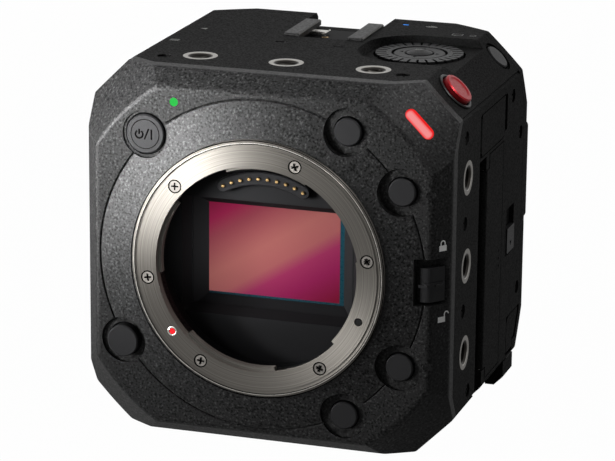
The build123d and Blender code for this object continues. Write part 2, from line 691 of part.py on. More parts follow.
with BuildPart() as top_cover:
    add(cover_shell((-HALF_W, HALF_W), (SIDE_TOP_Z + SEAM / 2, BODY_H)))
    add(insert_seats(TOP, TOP_INSERTS))
    add(insert_holes(TOP, TOP_INSERTS), mode=Mode.SUBTRACT)
    add(screw_wells(TOP, TOP_SCREWS), mode=Mode.SUBTRACT)
    # floor under the dial well and the drum that the dial turns in
    with BuildPart(mode=Mode.PRIVATE) as well_floor:
        add(box_between((WELL_X + 0.5, HALF_W), (WELL_DS[0] + 0.7, WELL_DS[1] - 0.7),
                        (WELL_FLOOR_Z - 1.6, WELL_FLOOR_Z + 0.2)))
        add(INSIDE, mode=Mode.INTERSECT)
    add(well_floor.part)
    add(round_block(facing_up(POCKET_FLOOR_Z - TRAY_T), [(DIAL_X, DIAL_D)],
                    DIAL_R + 2.1, DIAL_POCKET_T + TRAY_T - 0.2))
    with BuildSketch(TOP):
        with BuildLine():
            left = WELL_X
            near = WELL_DS[0]
            far = WELL_DS[1]
            r = WELL_CORNER
            d = r * (1 - sqrt(0.5))
            ThreePointArc((left, near + r), (left + d, near + d), (left + r, near))
            Line((left + r, near), (HALF_W + 4, near))
            Line((HALF_W + 4, near), (HALF_W + 4, far))
            Line((HALF_W + 4, far), (left + r, far))
            ThreePointArc((left + r, far), (left + d, far - d), (left, far - r))
            Line((left, far - r), (left, near + r))
        make_face()
    extrude(amount=-WELL_T, taper=WELL_SLOPE, mode=Mode.SUBTRACT)
    with BuildSketch(facing_up(POCKET_FLOOR_Z)):
        with Locations((DIAL_X, DIAL_D)):
            Circle(DIAL_R + DIAL_POCKET_GAP)
    extrude(amount=DIAL_POCKET_T + 1, mode=Mode.SUBTRACT)
    with BuildSketch(facing_up(POCKET_FLOOR_Z)):
        with Locations((DIAL_X, DIAL_D)):
            Circle(BOSS_R)
            Circle(BOSS_BORE_R, mode=Mode.SUBTRACT)
    extrude(amount=DIAL_POCKET_T - BOSS_TOP_T)
    # channel of the accessory shoe
    with BuildPart(mode=Mode.PRIVATE) as shoe_tray:
        add(box_between((-SHOE_W / 2 - TRAY_T, SHOE_W / 2 + TRAY_T),
                        (CHANNEL_D - TRAY_T, COVER_END_D),
                        (BODY_H - CHANNEL_T - TRAY_T, BODY_H - WALL / 2)))
        add(SHELL_OUTER, mode=Mode.INTERSECT)
    add(shoe_tray.part)
    add(SHOE_CHANNEL, mode=Mode.SUBTRACT)
    # buttons on both upper chamfers
    with BuildSketch(on_chamfer(1).offset(-WALL - 1)):
        with Locations((RECORD_D, 0)):
            Circle(COLLAR_R + FIT)
        with Locations((SIDE_BUTTON_D, 0)):
            Circle(SIDE_BUTTON_R + PRESS_GAP)
    extrude(amount=WALL + 4, mode=Mode.SUBTRACT)
    with BuildSketch(on_chamfer(-1).offset(-WALL - 1)):
        with Locations(*[(-d, 0) for d in LEFT_BUTTON_DS]):
            Circle(SIDE_BUTTON_R + PRESS_GAP)
    extrude(amount=WALL + 4, mode=Mode.SUBTRACT)
    with BuildSketch(on_chamfer(1).offset(-0.5)):
        with Locations((SIDE_BUTTON_D, 0)):
            Circle(SIDE_BUTTON_R + 0.9)
    extrude(amount=3, mode=Mode.SUBTRACT)
    # microphone slots and network lamp
    with BuildSketch(TOP):
        with Locations((-8.5, 43.9), (6.9, 43.4)):
            SlotOverall(3.1, 1.0)
    extrude(amount=-1.2, mode=Mode.SUBTRACT)
    with BuildSketch(TOP):
        with Locations(NETWORK_LAMP_AT):
            Rectangle(1.5 + 2 * FIT, 1.0 + 2 * FIT)
    extrude(amount=-WALL - 1, mode=Mode.SUBTRACT)
top_cover.part.label = "top_cover"
export_step(top_cover.part, "parts/top_cover.step")


def remote_outline(inset, front_r):
    """Outline of the remote door or its pocket on the right side."""
    with BuildSketch() as outline:
        d0, d1 = REMOTE_DS[0] + inset, REMOTE_DS[1] - inset
        z0, z1 = REMOTE_ZS[0] + inset, REMOTE_ZS[1] - inset
        with Locations(((d0 + d1) / 2, (z0 + z1) / 2)):
            frame = Rectangle(d1 - d0, z1 - z0)
        corners = frame.vertices().group_by(Axis.X)
        fillet(corners[0], front_r)
        rear_low = outline.vertices().group_by(Axis.X)[-1].sort_by(Axis.Y)[0]
        fillet(rear_low, 2.5 - inset)
    return outline.sketch


with BuildPart() as right_cover:
    add(cover_shell((0, HALF_W), (EDGE_CUT + SEAM / 2, SIDE_TOP_Z - SEAM / 2)))
    # thicker parts round the doors
    add(box_between((BLOCK_X, HALF_W - WALL / 2), BLOCK_DS, (EDGE_CUT + 1.2, SIDE_TOP_Z - 1.3)))
    with BuildPart(mode=Mode.PRIVATE) as jack_backing:
        add(box_between((HALF_W - 4.5, HALF_W - WALL / 2), (JACK_DS[0] - 1.5, COVER_END_D - 0.6),
                        (EDGE_CUT + 0.6, JACK_ZS[1] + 1.7)))
        add(SHELL_OUTER, mode=Mode.INTERSECT)
    add(jack_backing.part)
    add(insert_seats(RIGHT, RIGHT_INSERTS))
    add(insert_holes(RIGHT, RIGHT_INSERTS), mode=Mode.SUBTRACT)
    add(screw_wells(RIGHT, RIGHT_SCREWS), mode=Mode.SUBTRACT)
    # remote door: pocket, trench for the barrel, finger notch and two jack holes
    with BuildSketch(facing_right(DOOR_FACE_X - GAP)):
        add(remote_outline(0, 0.8))
    extrude(amount=DOOR_T + 2, mode=Mode.SUBTRACT)
    add(box_between((HINGE_X - BARREL_R - GAP, HALF_W), (REMOTE_DS[0], REMOTE_AXIS_D + BARREL_R + GAP),
                    (REMOTE_ZS[0] + 0.3, REMOTE_ZS[1] - 0.3)), mode=Mode.SUBTRACT)
    add(box_between((DOOR_FACE_X + 0.2, HALF_W + 1), (REMOTE_DS[1] - 0.1, NOTCH_D),
                    (REMOTE_ZS[0] + 1.6, REMOTE_ZS[1] - 0.2)), mode=Mode.SUBTRACT)
    # card door: groove, barrel pocket, plate pocket and the mouth of the card slots
    add(box_between((GROOVE_X, HALF_W + 1), (GROOVE_D, CARD_DS[0]), (0, CARD_ZS[1])),
        mode=Mode.SUBTRACT)
    add(box_between((GROOVE_X, HALF_W + 1), (CARD_DS[0] - 0.1, CARD_AXIS_D + BARREL_R + GAP + 0.4),
                    (CARD_ZS[0] + CARD_KNUCKLE, CARD_ZS[1] - CARD_KNUCKLE - 0.7)), mode=Mode.SUBTRACT)
    add(box_between((DOOR_FACE_X - GAP, HALF_W + 1), (CARD_AXIS_D + HINGE_NOSE, CARD_DS[1]), CARD_ZS),
        mode=Mode.SUBTRACT)
    add(box_between((BLOCK_X - 1, HALF_W + 1), CARD_MOUTH_DS, CARD_MOUTH_ZS), mode=Mode.SUBTRACT)
    # card lock: recess and slot
    add(box_between((HALF_W - 1.2, HALF_W + 1), CARD_LOCK_DS, CARD_LOCK_ZS), mode=Mode.SUBTRACT)
    add(box_between((HALF_W - WALL - 1, HALF_W), (CARD_LOCK_MID_D - 1.1, CARD_LOCK_MID_D + 1.1),
                    (CARD_LOCK_ZS[0] + 2.0, CARD_LOCK_ZS[0] + 5.2 + CARD_LOCK_TRAVEL)),
        mode=Mode.SUBTRACT)
    # jack door: pocket open onto the lower chamfer, trench for the barrel
    with BuildSketch(facing_right(DOOR_FACE_X - GAP)):
        Polygon(
            (JACK_DS[0], EDGE_CUT - 1.2), (JACK_DS[0], JACK_ZS[1]), (REAR_D, JACK_ZS[1]),
            (REAR_D, JACK_AXIS_Z + HINGE_NOSE), (JACK_CHEEK_D, JACK_AXIS_Z + HINGE_NOSE),
            (JACK_CHEEK_D, EDGE_CUT - 1.2),
            align=None,
        )
    extrude(amount=DOOR_T + 2, mode=Mode.SUBTRACT)
    add(box_between((HINGE_X - BARREL_R - GAP, HALF_W), (JACK_DS[0], JACK_CHEEK_D),
                    (EDGE_CUT - 1.2, JACK_AXIS_Z + BARREL_R + GAP)), mode=Mode.SUBTRACT)
    # sockets behind both small doors
    with BuildSketch(facing_right(HALF_W)):
        with Locations(*REMOTE_JACKS):
            Circle(JACK_R + FIT)
        with Locations(*CORNER_JACKS):
            Circle(SMALL_JACK_R + FIT)
    extrude(amount=-WALL - 6, mode=Mode.SUBTRACT)
    add(hinge_rods(FIT), mode=Mode.SUBTRACT)
    # room for the flanges of the chamfer buttons
    with BuildSketch(on_chamfer(1).offset(-7)):
        with Locations((RECORD_D, 0), (SIDE_BUTTON_D, 0)):
            Circle(COLLAR_R + 0.5)
    extrude(amount=6.7, mode=Mode.SUBTRACT)
right_cover.part.label = "right_cover"
export_step(right_cover.part, "parts/right_cover.step")

with BuildPart() as left_cover:
    add(cover_shell((-HALF_W, 0), (EDGE_CUT + SEAM / 2, SIDE_TOP_Z - SEAM / 2)))
    add(insert_seats(LEFT, LEFT_INSERTS))
    add(insert_holes(LEFT, LEFT_INSERTS), mode=Mode.SUBTRACT)
    add(screw_wells(LEFT, LEFT_SCREWS), mode=Mode.SUBTRACT)
    # outlet slots of the fan
    with BuildSketch(LEFT):
        with Locations((-FAN_AT[0], FAN_AT[1])):
            with GridLocations(3.4, 0, 9, 1):
                SlotOverall(28, 1.9, rotation=90)
    extrude(amount=-WALL - 1, mode=Mode.SUBTRACT)
left_cover.part.label = "left_cover"
export_step(left_cover.part, "parts/left_cover.step")

with BuildPart() as base_cover:
    add(cover_shell((-HALF_W, HALF_W), (0, EDGE_CUT - SEAM / 2)))
    add(insert_seats(BASE, BASE_INSERTS))
    add(insert_holes(BASE, BASE_INSERTS), mode=Mode.SUBTRACT)
    add(screw_wells(BASE, BASE_SCREWS), mode=Mode.SUBTRACT)
    # the card door's groove runs out onto the lower chamfer
    with BuildPart(mode=Mode.PRIVATE) as groove_backing:
        add(box_between((BLOCK_X - 0.5, HALF_W), (GROOVE_D - 2, CARD_DS[0] + 2), (2, EDGE_CUT - SEAM / 2)))
        add(INSIDE, mode=Mode.INTERSECT)
    add(groove_backing.part)
    add(box_between((GROOVE_X, HALF_W + 1), (GROOVE_D, CARD_DS[0]), (0, EDGE_CUT)),
        mode=Mode.SUBTRACT)
base_cover.part.label = "base_cover"
export_step(base_cover.part, "parts/base_cover.step")

LUG_X = (HALF_W - 6.5, HALF_W - 1.8)
LUG_TOP_Z = 6.4
LUG_D = REAR_D - 12.3
BAY_ZMID = (BAY_ZS[0] + BAY_ZS[1]) / 2
BAY_H = BAY_ZS[1] - BAY_ZS[0]

with BuildPart() as corner_lug:
    with BuildSketch(facing_front(LUG_D)):
        Polygon(
            (LUG_X[0], 0), (LUG_X[1] - 2.3, 0), (LUG_X[1], 2.3), (LUG_X[1], LUG_TOP_Z),
            (LUG_X[0], LUG_TOP_Z), align=None,
        )
    extrude(amount=LUG_D - REAR_D + 2.5)
    add(body_form(PLATE_D - 10, REAR_D - REAR_T + SEAM, -SEAM), mode=Mode.SUBTRACT)

with BuildPart() as rear_cover:
    add(OUTER)
    add(corner_lug.part)
    add(body_form(PLATE_D - 10, REAR_D - REAR_T), mode=Mode.SUBTRACT)
    # trays of the battery bay and the video sockets' bay
    with BuildPart(mode=Mode.PRIVATE) as trays:
        add(box_between((-BAY_W / 2 - TRAY_WALL, BAY_W / 2 + TRAY_WALL),
                        (BAY_FLOOR_D - TRAY_WALL, REAR_D - 1),
                        (BAY_ZS[0] - TRAY_WALL, BAY_ZS[1] + TRAY_WALL)))
        add(box_between((BNC_X - BNC_BAY_W / 2 - TRAY_WALL + 0.1, BNC_X + BNC_BAY_W / 2 + TRAY_WALL),
                        (BNC_FLOOR_D - TRAY_WALL, REAR_D - 1),
                        (BNC_BAY_ZS[0] - TRAY_WALL, BNC_BAY_ZS[1] + TRAY_WALL)))
    add(trays.part)
    with BuildSketch(REAR):
        with Locations((0, BAY_ZMID)):
            outline = Rectangle(BAY_W, BAY_H)
        fillet(outline.vertices(), 1.5)
    extrude(amount=-BAY_T, mode=Mode.SUBTRACT)
    with BuildSketch(REAR):
        with Locations((-BNC_X, sum(BNC_BAY_ZS) / 2)):
            outline = Rectangle(BNC_BAY_W, BNC_BAY_ZS[1] - BNC_BAY_ZS[0])
        fillet(outline.vertices(), 2)
    extrude(amount=-BNC_BAY_T, mode=Mode.SUBTRACT)
    with BuildSketch(REAR):
        with Locations(*[(-BNC_X, z) for z in BNC_ZS]):
            Circle(BNC_R + FIT)
        with Locations((-DC_AT[0], DC_AT[1])):
            Circle(4.0 + FIT)
        with Locations((-LAN_AT[0], LAN_AT[1])):
            Rectangle(16.0 + 2 * FIT, 13.5 + 2 * FIT)
        with Locations((-VIDEO_PORT_AT[0], VIDEO_PORT_AT[1])):
            RectangleRounded(15.0 + 2 * FIT, 5.6 + 2 * FIT, 1.0)
        with Locations((-DATA_PORT_AT[0], DATA_PORT_AT[1])):
            RectangleRounded(9.0 + 2 * FIT, 3.4 + 2 * FIT, 1.5)
    extrude(amount=-BNC_BAY_T - TRAY_WALL - 1, mode=Mode.SUBTRACT)
    add(screw_wells(REAR, REAR_POSTS), mode=Mode.SUBTRACT)
    # shallow seat of the terminal door with its hinge blocks
    add(box_between((TERMINAL_AXIS_X - BARREL_R - GAP, HALF_W + 1),
                    (REAR_D - TERMINAL_SINK, REAR_D + 1), TERMINAL_ZS), mode=Mode.SUBTRACT)
    for z0, z1 in ((TERMINAL_ZS[0] - 1.8, TERMINAL_ZS[0]), (TERMINAL_ZS[1], TERMINAL_ZS[1] + 1.8)):
        add(box_between((TERMINAL_AXIS_X - BARREL_R, TERMINAL_AXIS_X + BARREL_R),
                        (REAR_D - 1, TERMINAL_AXIS_D + 0.9), (z0, z1)))
    # seat and slot of the battery release
    add(box_between((-8.5, 8.5), (REAR_D - 1.6, REAR_D + 1), LEVER_ZS), mode=Mode.SUBTRACT)
    add(box_between((-4.3, 3.3), (REAR_D - 4, REAR_D), (8.0, 9.8)), mode=Mode.SUBTRACT)
    add(SHOE_CHANNEL, mode=Mode.SUBTRACT)
    add(hinge_rods(FIT), mode=Mode.SUBTRACT)
rear_cover.part.label = "rear_cover"
export_step(rear_cover.part, "parts/rear_cover.step")

with BuildPart() as chassis:
    add(octagon_prism(CHASSIS_D, CHASSIS_D + CHASSIS_T, WALL + GAP))
    with BuildSketch(facing_front(CHASSIS_D - 1)):
        with Locations((0, LENS_Z)):
            Rectangle(34, 26)
        with Locations((10.5 - HALF_W, LENS_Z), (HALF_W - 10.5, LENS_Z)):
            RectangleRounded(9, BODY_H - 53, 2)
    extrude(amount=-CHASSIS_T - 2, mode=Mode.SUBTRACT)
    add(box_between((HALF_W - 13.0, HALF_W), (0, REAR_D), (BODY_H - 14.0, BODY_H)), mode=Mode.SUBTRACT)
    with BuildSketch(facing_front(CHASSIS_D)):
        with Locations(*FRONT_POSTS):
            Circle(POST_R)
    extrude(amount=CHASSIS_D - FRAME_BACK_D)
    with BuildSketch(facing_front(CHASSIS_D + CHASSIS_T)):
        with Locations(*REAR_POSTS):
            Circle(POST_R)
    extrude(amount=CHASSIS_D + CHASSIS_T - REAR_D + REAR_T)
chassis.part.label = "chassis"
export_step(chassis.part, "parts/chassis.step")


# Lens mount

def ring_spots(radius, angles):
    return [(radius * cos(radians(a)), radius * sin(radians(a))) for a in angles]


SCREW_SPOTS = ring_spots(SCREW_PCD_R, SCREW_ANGLES)
DOT_SPOT = ring_spots(*(DOT_AT[0], (DOT_AT[1],)))[0]
PIN_SPOT = ring_spots(*(PIN_AT[0], (PIN_AT[1],)))[0]
FLANGE = facing_front(0, LENS_Z)
CLAW_ROOT_R = THROAT_R + UNDERCUT + 0.2

with BuildPart() as mount_ring:
    with BuildSketch(facing_up(LENS_Z)):
        Polygon(
            (THROAT_R, 0), (RING_R - RING_RIM, 0), (RING_R - RING_RIM, RING_RIM_DROP),
            (RING_R - 0.5, RING_RIM_DROP), (RING_R, RING_RIM_DROP + 0.5), (RING_R, RING_T),
            (THROAT_R + UNDERCUT, RING_T), (THROAT_R + UNDERCUT, LIP_T), (THROAT_R, LIP_T), align=None,
        )
    revolve(axis=LENS_AXIS)
    for start, end in CLAWS:
        with BuildSketch(FLANGE.offset(-LIP_T)):
            with BuildLine():
                CenterArc((0, 0), CLAW_R, start, end - start)
                CenterArc((0, 0), CLAW_ROOT_R, start, end - start)
                Line(ring_spots(CLAW_R, (start,))[0], ring_spots(CLAW_ROOT_R, (start,))[0])
                Line(ring_spots(CLAW_R, (end,))[0], ring_spots(CLAW_ROOT_R, (end,))[0])
            make_face()
        extrude(amount=-(RING_T - LIP_T))
    with BuildSketch(FLANGE):
        with Locations(*SCREW_SPOTS):
            Circle(SCREW_R + FIT)
        with Locations(DOT_SPOT):
            Circle(DOT_R + FIT)
    extrude(amount=-1.2, mode=Mode.SUBTRACT)
    with BuildSketch(FLANGE):
        with Locations(*SCREW_SPOTS):
            Circle(SCREW_R * 0.6 + FIT)
        with Locations(PIN_SPOT):
            Circle(PIN_R + PIN_FIT)
    extrude(amount=-RING_T - 1, mode=Mode.SUBTRACT)
mount_ring.part.label = "mount_ring"
export_step(mount_ring.part, "parts/mount_ring.step")

with BuildPart() as mount_screws:
    with BuildSketch(FLANGE.offset(-0.06)):
        with Locations(*SCREW_SPOTS):
            Circle(SCREW_R)
    extrude(amount=-1.1)
    with BuildSketch(FLANGE.offset(-1.0)):
        with Locations(*SCREW_SPOTS):
            Circle(SCREW_R * 0.6)
    extrude(amount=-4.8)
    with BuildSketch(FLANGE):
        with Locations(*SCREW_SPOTS):
            Rectangle(1.7, 0.45)
            Rectangle(0.45, 1.7)
    extrude(amount=-0.7, mode=Mode.SUBTRACT)
mount_screws.part.label = "mount_screws"
export_step(mount_screws.part, "parts/mount_screws.step")

with BuildPart() as index_dot:
    with BuildSketch(FLANGE.offset(-0.05)):
        with Locations(DOT_SPOT):
            Circle(DOT_R)
    extrude(amount=-1.1)
index_dot.part.label = "index_dot"
export_step(index_dot.part, "parts/index_dot.step")

with BuildPart() as lens_lock_pin:
    with BuildSketch(FLANGE.offset(-0.15)):
        with Locations(PIN_SPOT):
            Circle(PIN_R)
    extrude(amount=-(BOX_BACK_D + 1.2))
    with BuildSketch(FLANGE.offset(-BOX_BACK_D - GAP)):
        with Locations(PIN_SPOT):
            Circle(PIN_R + 0.5)
    extrude(amount=-1.0)
    top = lens_lock_pin.faces().sort_by(Axis.Y)[0]
    chamfer(top.edges(), 0.2)
lens_lock_pin.part.label = "lens_lock_pin"
export_step(lens_lock_pin.part, "parts/lens_lock_pin.step")

BOX_FRONT = facing_front(FRAME_BACK_D, LENS_Z)
CONTACT_ANGLES = [90 + CONTACT_STEP * (i - (CONTACTS - 1) / 2) for i in range(CONTACTS)]
CONTACT_SPOTS = ring_spots(CONTACT_R, CONTACT_ANGLES)
CONTACT_PLATE_D = FRAME_BACK_D + PLATE_SET
CONTACT_END = [
    ring_spots(CONTACT_R + side * CONTACT_BAND / 2, (angle,))[0]
    for angle in (CONTACT_ANGLES[0], CONTACT_ANGLES[-1])
    for side in (-1, 1)
]

with BuildPart() as light_box:
    with BuildSketch(BOX_FRONT):
        Circle(BOX_R)
    extrude(amount=-BOX_T)
    with BuildSketch(BOX_FRONT):
        Circle(BOX_BORE_R)
        with Locations((0, PLATE_EDGE + 30)):
            Rectangle(80, 60, mode=Mode.SUBTRACT)
    extrude(amount=-(BOX_T - BOX_FLOOR_T), mode=Mode.SUBTRACT)
    with BuildSketch(BOX_FRONT):
        Circle(BOX_BORE_R)
        with Locations((0, PLATE_EDGE - 30)):
            Rectangle(80, 60, mode=Mode.SUBTRACT)
    extrude(amount=-PLATE_SET, mode=Mode.SUBTRACT)
    with BuildSketch(BOX_FRONT.offset(-(BOX_T - BOX_FLOOR_T))):
        RectangleRounded(WINDOW_W, 2 * PLATE_EDGE, 1)
    extrude(amount=-BOX_FLOOR_T, taper=30, mode=Mode.SUBTRACT)
    with BuildSketch(BOX_FRONT):
        with Locations(PIN_SPOT):
            Circle(PIN_R + PIN_FIT)
    extrude(amount=-BOX_T - 1, mode=Mode.SUBTRACT)
    with BuildSketch(BOX_FRONT):
        with Locations(PIN_SPOT):
            Circle(PIN_R + 0.5 + GAP)
    extrude(amount=-1.0, mode=Mode.SUBTRACT)
light_box.part.label = "light_box"
export_step(light_box.part, "parts/light_box.step")

with BuildPart() as contact_block:
    with BuildSketch(facing_front(CONTACT_PLATE_D, LENS_Z)):
        start = CONTACT_ANGLES[0]
        sweep_angle = CONTACT_ANGLES[-1] - start
        inner_r = CONTACT_R - CONTACT_BAND / 2
        outer_r = CONTACT_R + CONTACT_BAND / 2
        with BuildLine():
            CenterArc((0, 0), inner_r, start, sweep_angle)
            CenterArc((0, 0), outer_r, start, sweep_angle)
            Line(CONTACT_END[0], CONTACT_END[1])
            Line(CONTACT_END[2], CONTACT_END[3])
        make_face()
        with Locations(CONTACT_SPOTS[0], CONTACT_SPOTS[-1]):
            Circle(CONTACT_BAND / 2)
    extrude(amount=CONTACT_PROUD)
    front = contact_block.faces().sort_by(Axis.Y)[0]
    chamfer(front.edges(), 0.25)
    with BuildSketch(facing_front(CONTACT_PLATE_D, LENS_Z)):
        with Locations(*CONTACT_SPOTS):
            Circle(CONTACT_PIN_R + 0.06)
    extrude(amount=CONTACT_PROUD + 1, mode=Mode.SUBTRACT)
contact_block.part.label = "contact_block"
export_step(contact_block.part, "parts/contact_block.step")

with BuildPart() as contact_pins:
    with BuildSketch(facing_front(CONTACT_PLATE_D - CONTACT_PROUD - CONTACT_TIP, LENS_Z)):
        with Locations(*CONTACT_SPOTS):
            Circle(CONTACT_PIN_R)
    extrude(amount=-(CONTACT_PROUD + CONTACT_TIP - CONTACT_TRAVEL - GAP))
    chamfer(contact_pins.faces().group_by(Axis.Y)[0].edges(), 0.15)
contact_pins.part.label = "contact_pins"
export_step(contact_pins.part, "parts/contact_pins.step")

GLASS_W = SENSOR_WINDOW[0] + 2 * GLASS_EDGE
GLASS_H = SENSOR_WINDOW[1] + 2 * GLASS_EDGE
GLASS_D = BOX_BACK_D + BEZEL_LIP_T
BEZEL = facing_front(BOX_BACK_D, LENS_Z)

with BuildPart() as sensor_frame:
    with BuildSketch(BEZEL):
        Rectangle(BEZEL_W, BEZEL_H)
    extrude(amount=-BEZEL_T)
    with BuildSketch(BEZEL.offset(-BEZEL_LIP_T)):
        Rectangle(*SENSOR_WINDOW)
    with BuildSketch(BEZEL):
        Rectangle(SENSOR_WINDOW[0] + 6.0, SENSOR_WINDOW[1] + 5.4)
    loft(mode=Mode.SUBTRACT)
    with BuildSketch(BEZEL.offset(-BEZEL_LIP_T)):
        Rectangle(GLASS_W + 2 * FIT, GLASS_H + 2 * FIT)
    extrude(amount=-BEZEL_T, mode=Mode.SUBTRACT)
sensor_frame.part.label = "sensor_frame"
export_step(sensor_frame.part, "parts/sensor_frame.step")

with BuildPart() as sensor_glass:
    with BuildSketch(facing_front(GLASS_D, LENS_Z)):
        Rectangle(GLASS_W, GLASS_H)
    extrude(amount=-GLASS_T)
sensor_glass.part.label = "sensor_glass"
export_step(sensor_glass.part, "parts/sensor_glass.step")

SENSOR_BACK_D = FLANGE_DEPTH + 1.5
with BuildPart() as image_sensor:
    with BuildSketch(facing_front(BEZEL_BACK_D, LENS_Z)):
        Rectangle(BEZEL_W, BEZEL_H)
    extrude(amount=BEZEL_BACK_D - SENSOR_BACK_D)
    with BuildSketch(facing_front(BEZEL_BACK_D, LENS_Z)):
        Rectangle(*SENSOR_DIE)
    extrude(amount=BEZEL_BACK_D - FLANGE_DEPTH, mode=Mode.SUBTRACT)
image_sensor.part.label = "image_sensor"
export_step(image_sensor.part, "parts/image_sensor.step")

BOARD_BACK_D = SENSOR_BACK_D + SENSOR_BOARD[2]
with BuildPart() as sensor_board:
    with BuildSketch(facing_front(SENSOR_BACK_D, LENS_Z)):
        Rectangle(SENSOR_BOARD[0], SENSOR_BOARD[1])
    extrude(amount=-SENSOR_BOARD[2])
sensor_board.part.label = "sensor_board"
export_step(sensor_board.part, "parts/sensor_board.step")

with BuildPart() as heat_sink:
    with BuildSketch(facing_front(BOARD_BACK_D, LENS_Z)):
        Rectangle(BEZEL_W, BEZEL_H)
    extrude(amount=-SINK_BASE_T)
    with BuildSketch(facing_front(BOARD_BACK_D + SINK_BASE_T, LENS_Z)):
        with GridLocations((BEZEL_W - FIN_T) / (FINS - 1), 0, FINS, 1):
            Rectangle(FIN_T, BEZEL_H)
    extrude(amount=-(CHASSIS_D - BOARD_BACK_D - SINK_BASE_T))
heat_sink.part.label = "heat_sink"
export_step(heat_sink.part, "parts/heat_sink.step")


# Front controls

for number, at in enumerate(BUTTON_ATS, start=1):
    function_button = push_button(FRONT, at, FUNCTION_R, BUTTON_PROUD, FRAME_T)
    function_button.part.label = f"function_button_{number}"
    export_step(function_button.part, f"parts/function_button_{number}.step")

power_button = push_button(FRONT, POWER_AT, POWER_R, BUTTON_PROUD, FRAME_T)
power_button.part.label = "power_button"
export_step(power_button.part, "parts/power_button.step")

lens_release = push_button(FRONT, RELEASE_AT, RELEASE_R, RELEASE_PROUD, FRAME_T)
lens_release.part.label = "lens_release"
export_step(lens_release.part, "parts/lens_release.step")

with BuildPart() as power_lamp:
    with BuildSketch(FRONT.offset(-0.1)):
        with Locations(LAMP_AT):
            Circle(LAMP_R)
    extrude(amount=-FRAME_T + 0.1)
power_lamp.part.label = "power_lamp"
export_step(power_lamp.part, "parts/power_lamp.step")

with BuildPart() as tally_lamp:
    with BuildSketch(TALLY.offset(-FRAME_T + 0.6)):
        SlotOverall(TALLY_L - 2 * FIT, TALLY_W - 2 * FIT)
    extrude(amount=FRAME_T - 0.6)
tally_lamp.part.label = "tally_lamp"
export_step(tally_lamp.part, "parts/tally_lamp.step")

with BuildPart() as lock_switch:
    with BuildPart(mode=Mode.PRIVATE) as knob:
        add(form_layer(LOCK_KNOB_SINK, LOCK_SINK - GAP))
        add(box_between((LOCK_KNOB_X, HALF_W), (0, PLATE_D + BEVEL_D - 0.9), LOCK_KNOB_Z),
            mode=Mode.INTERSECT)
    add(knob.part)
    with BuildPart(mode=Mode.PRIVATE) as ridge:
        add(form_layer(LOCK_KNOB_SINK - 0.4, LOCK_KNOB_SINK + 0.1))
        add(box_between((LOCK_KNOB_X + 0.6, HALF_W), (0, PLATE_D + BEVEL_D - 1.4),
                        (LOCK_MID_Z - 0.6, LOCK_MID_Z + 0.6)), mode=Mode.INTERSECT)
    add(ridge.part)
    add(box_between(LOCK_STEM, (PLATE_D + 1.5, LOCK_BACK_D + GAP + 0.2), LOCK_STEM_Z))
    add(box_between((LOCK_STEM[0] - 1, LOCK_STEM[1] + 1),
                    (LOCK_BACK_D + GAP, LOCK_BACK_D + GAP + 1.0),
                    (LOCK_STEM_Z[0] - 1.5, LOCK_STEM_Z[1] + 1.5)))
lock_switch.part.label = "lock_switch"
export_step(lock_switch.part, "parts/lock_switch.step")


# Buttons on the upper chamfers

record_button = push_button(on_chamfer(1), (RECORD_D, 0), RECORD_R, RECORD_PROUD, WALL, dish=0.25)
record_button.part.label = "record_button"
export_step(record_button.part, "parts/record_button.step")

with BuildPart() as record_collar:
    with BuildSketch(on_chamfer(1).offset(-WALL)):
        with Locations((RECORD_D, 0)):
            Circle(COLLAR_R)
            Circle(RECORD_R + PRESS_GAP, mode=Mode.SUBTRACT)
    extrude(amount=WALL + COLLAR_PROUD)
    collar_top = record_collar.faces().sort_by(Axis((0, 0, 0), (1, 0, 1)))[-1]
    chamfer(collar_top.edges(), 0.2)
record_collar.part.label = "record_collar"
export_step(record_collar.part, "parts/record_collar.step")

side_button = push_button(on_chamfer(1), (SIDE_BUTTON_D, 0), SIDE_BUTTON_R, 0.1, WALL)
side_button.part.label = "side_button"
export_step(side_button.part, "parts/side_button.step")

for number, depth in enumerate(LEFT_BUTTON_DS, start=1):
    left_button = push_button(on_chamfer(-1), (-depth, 0), SIDE_BUTTON_R, 0.3, WALL)
    left_button.part.label = f"left_button_{number}"
    export_step(left_button.part, f"parts/left_button_{number}.step")


# Control dial with its pad and centre button

DIAL_AT = (DIAL_X, DIAL_D)
ROCKER_ZS = (POCKET_FLOOR_Z + 0.8, POCKET_FLOOR_Z + 1.9)
PAD_BOTTOM_Z = ROCKER_ZS[1] + 0.7
PAD_TOP_Z = PAD_BOTTOM_Z + PAD_T

with BuildPart() as control_dial:
    with BuildSketch(facing_up(POCKET_FLOOR_Z + GAP)):
        with Locations(DIAL_AT):
            Circle(DIAL_R)
            Circle(DIAL_HUB_R, mode=Mode.SUBTRACT)
    extrude(amount=DIAL_TOP_Z - POCKET_FLOOR_Z - GAP)
    # teeth round the top, outside the smooth inner lip
    tooth_mid_r = (DIAL_LIP_R + DIAL_R + 0.5) / 2
    with BuildSketch(facing_up(DIAL_TOP_Z)):
        with Locations(DIAL_AT):
            with PolarLocations(tooth_mid_r, KNURLS):
                Rectangle(DIAL_R + 0.5 - DIAL_LIP_R, KNURL_GROOVE)
    extrude(amount=-KNURL_T, mode=Mode.SUBTRACT)
control_dial.part.label = "control_dial"
export_step(control_dial.part, "parts/control_dial.step")

with BuildPart() as cursor_rocker:
    with BuildSketch(facing_up(ROCKER_ZS[0])):
        with Locations(DIAL_AT):
            Circle(ROCKER_RS[1])
            Circle(ROCKER_RS[0], mode=Mode.SUBTRACT)
    extrude(amount=ROCKER_ZS[1] - ROCKER_ZS[0])
cursor_rocker.part.label = "cursor_rocker"
export_step(cursor_rocker.part, "parts/cursor_rocker.step")

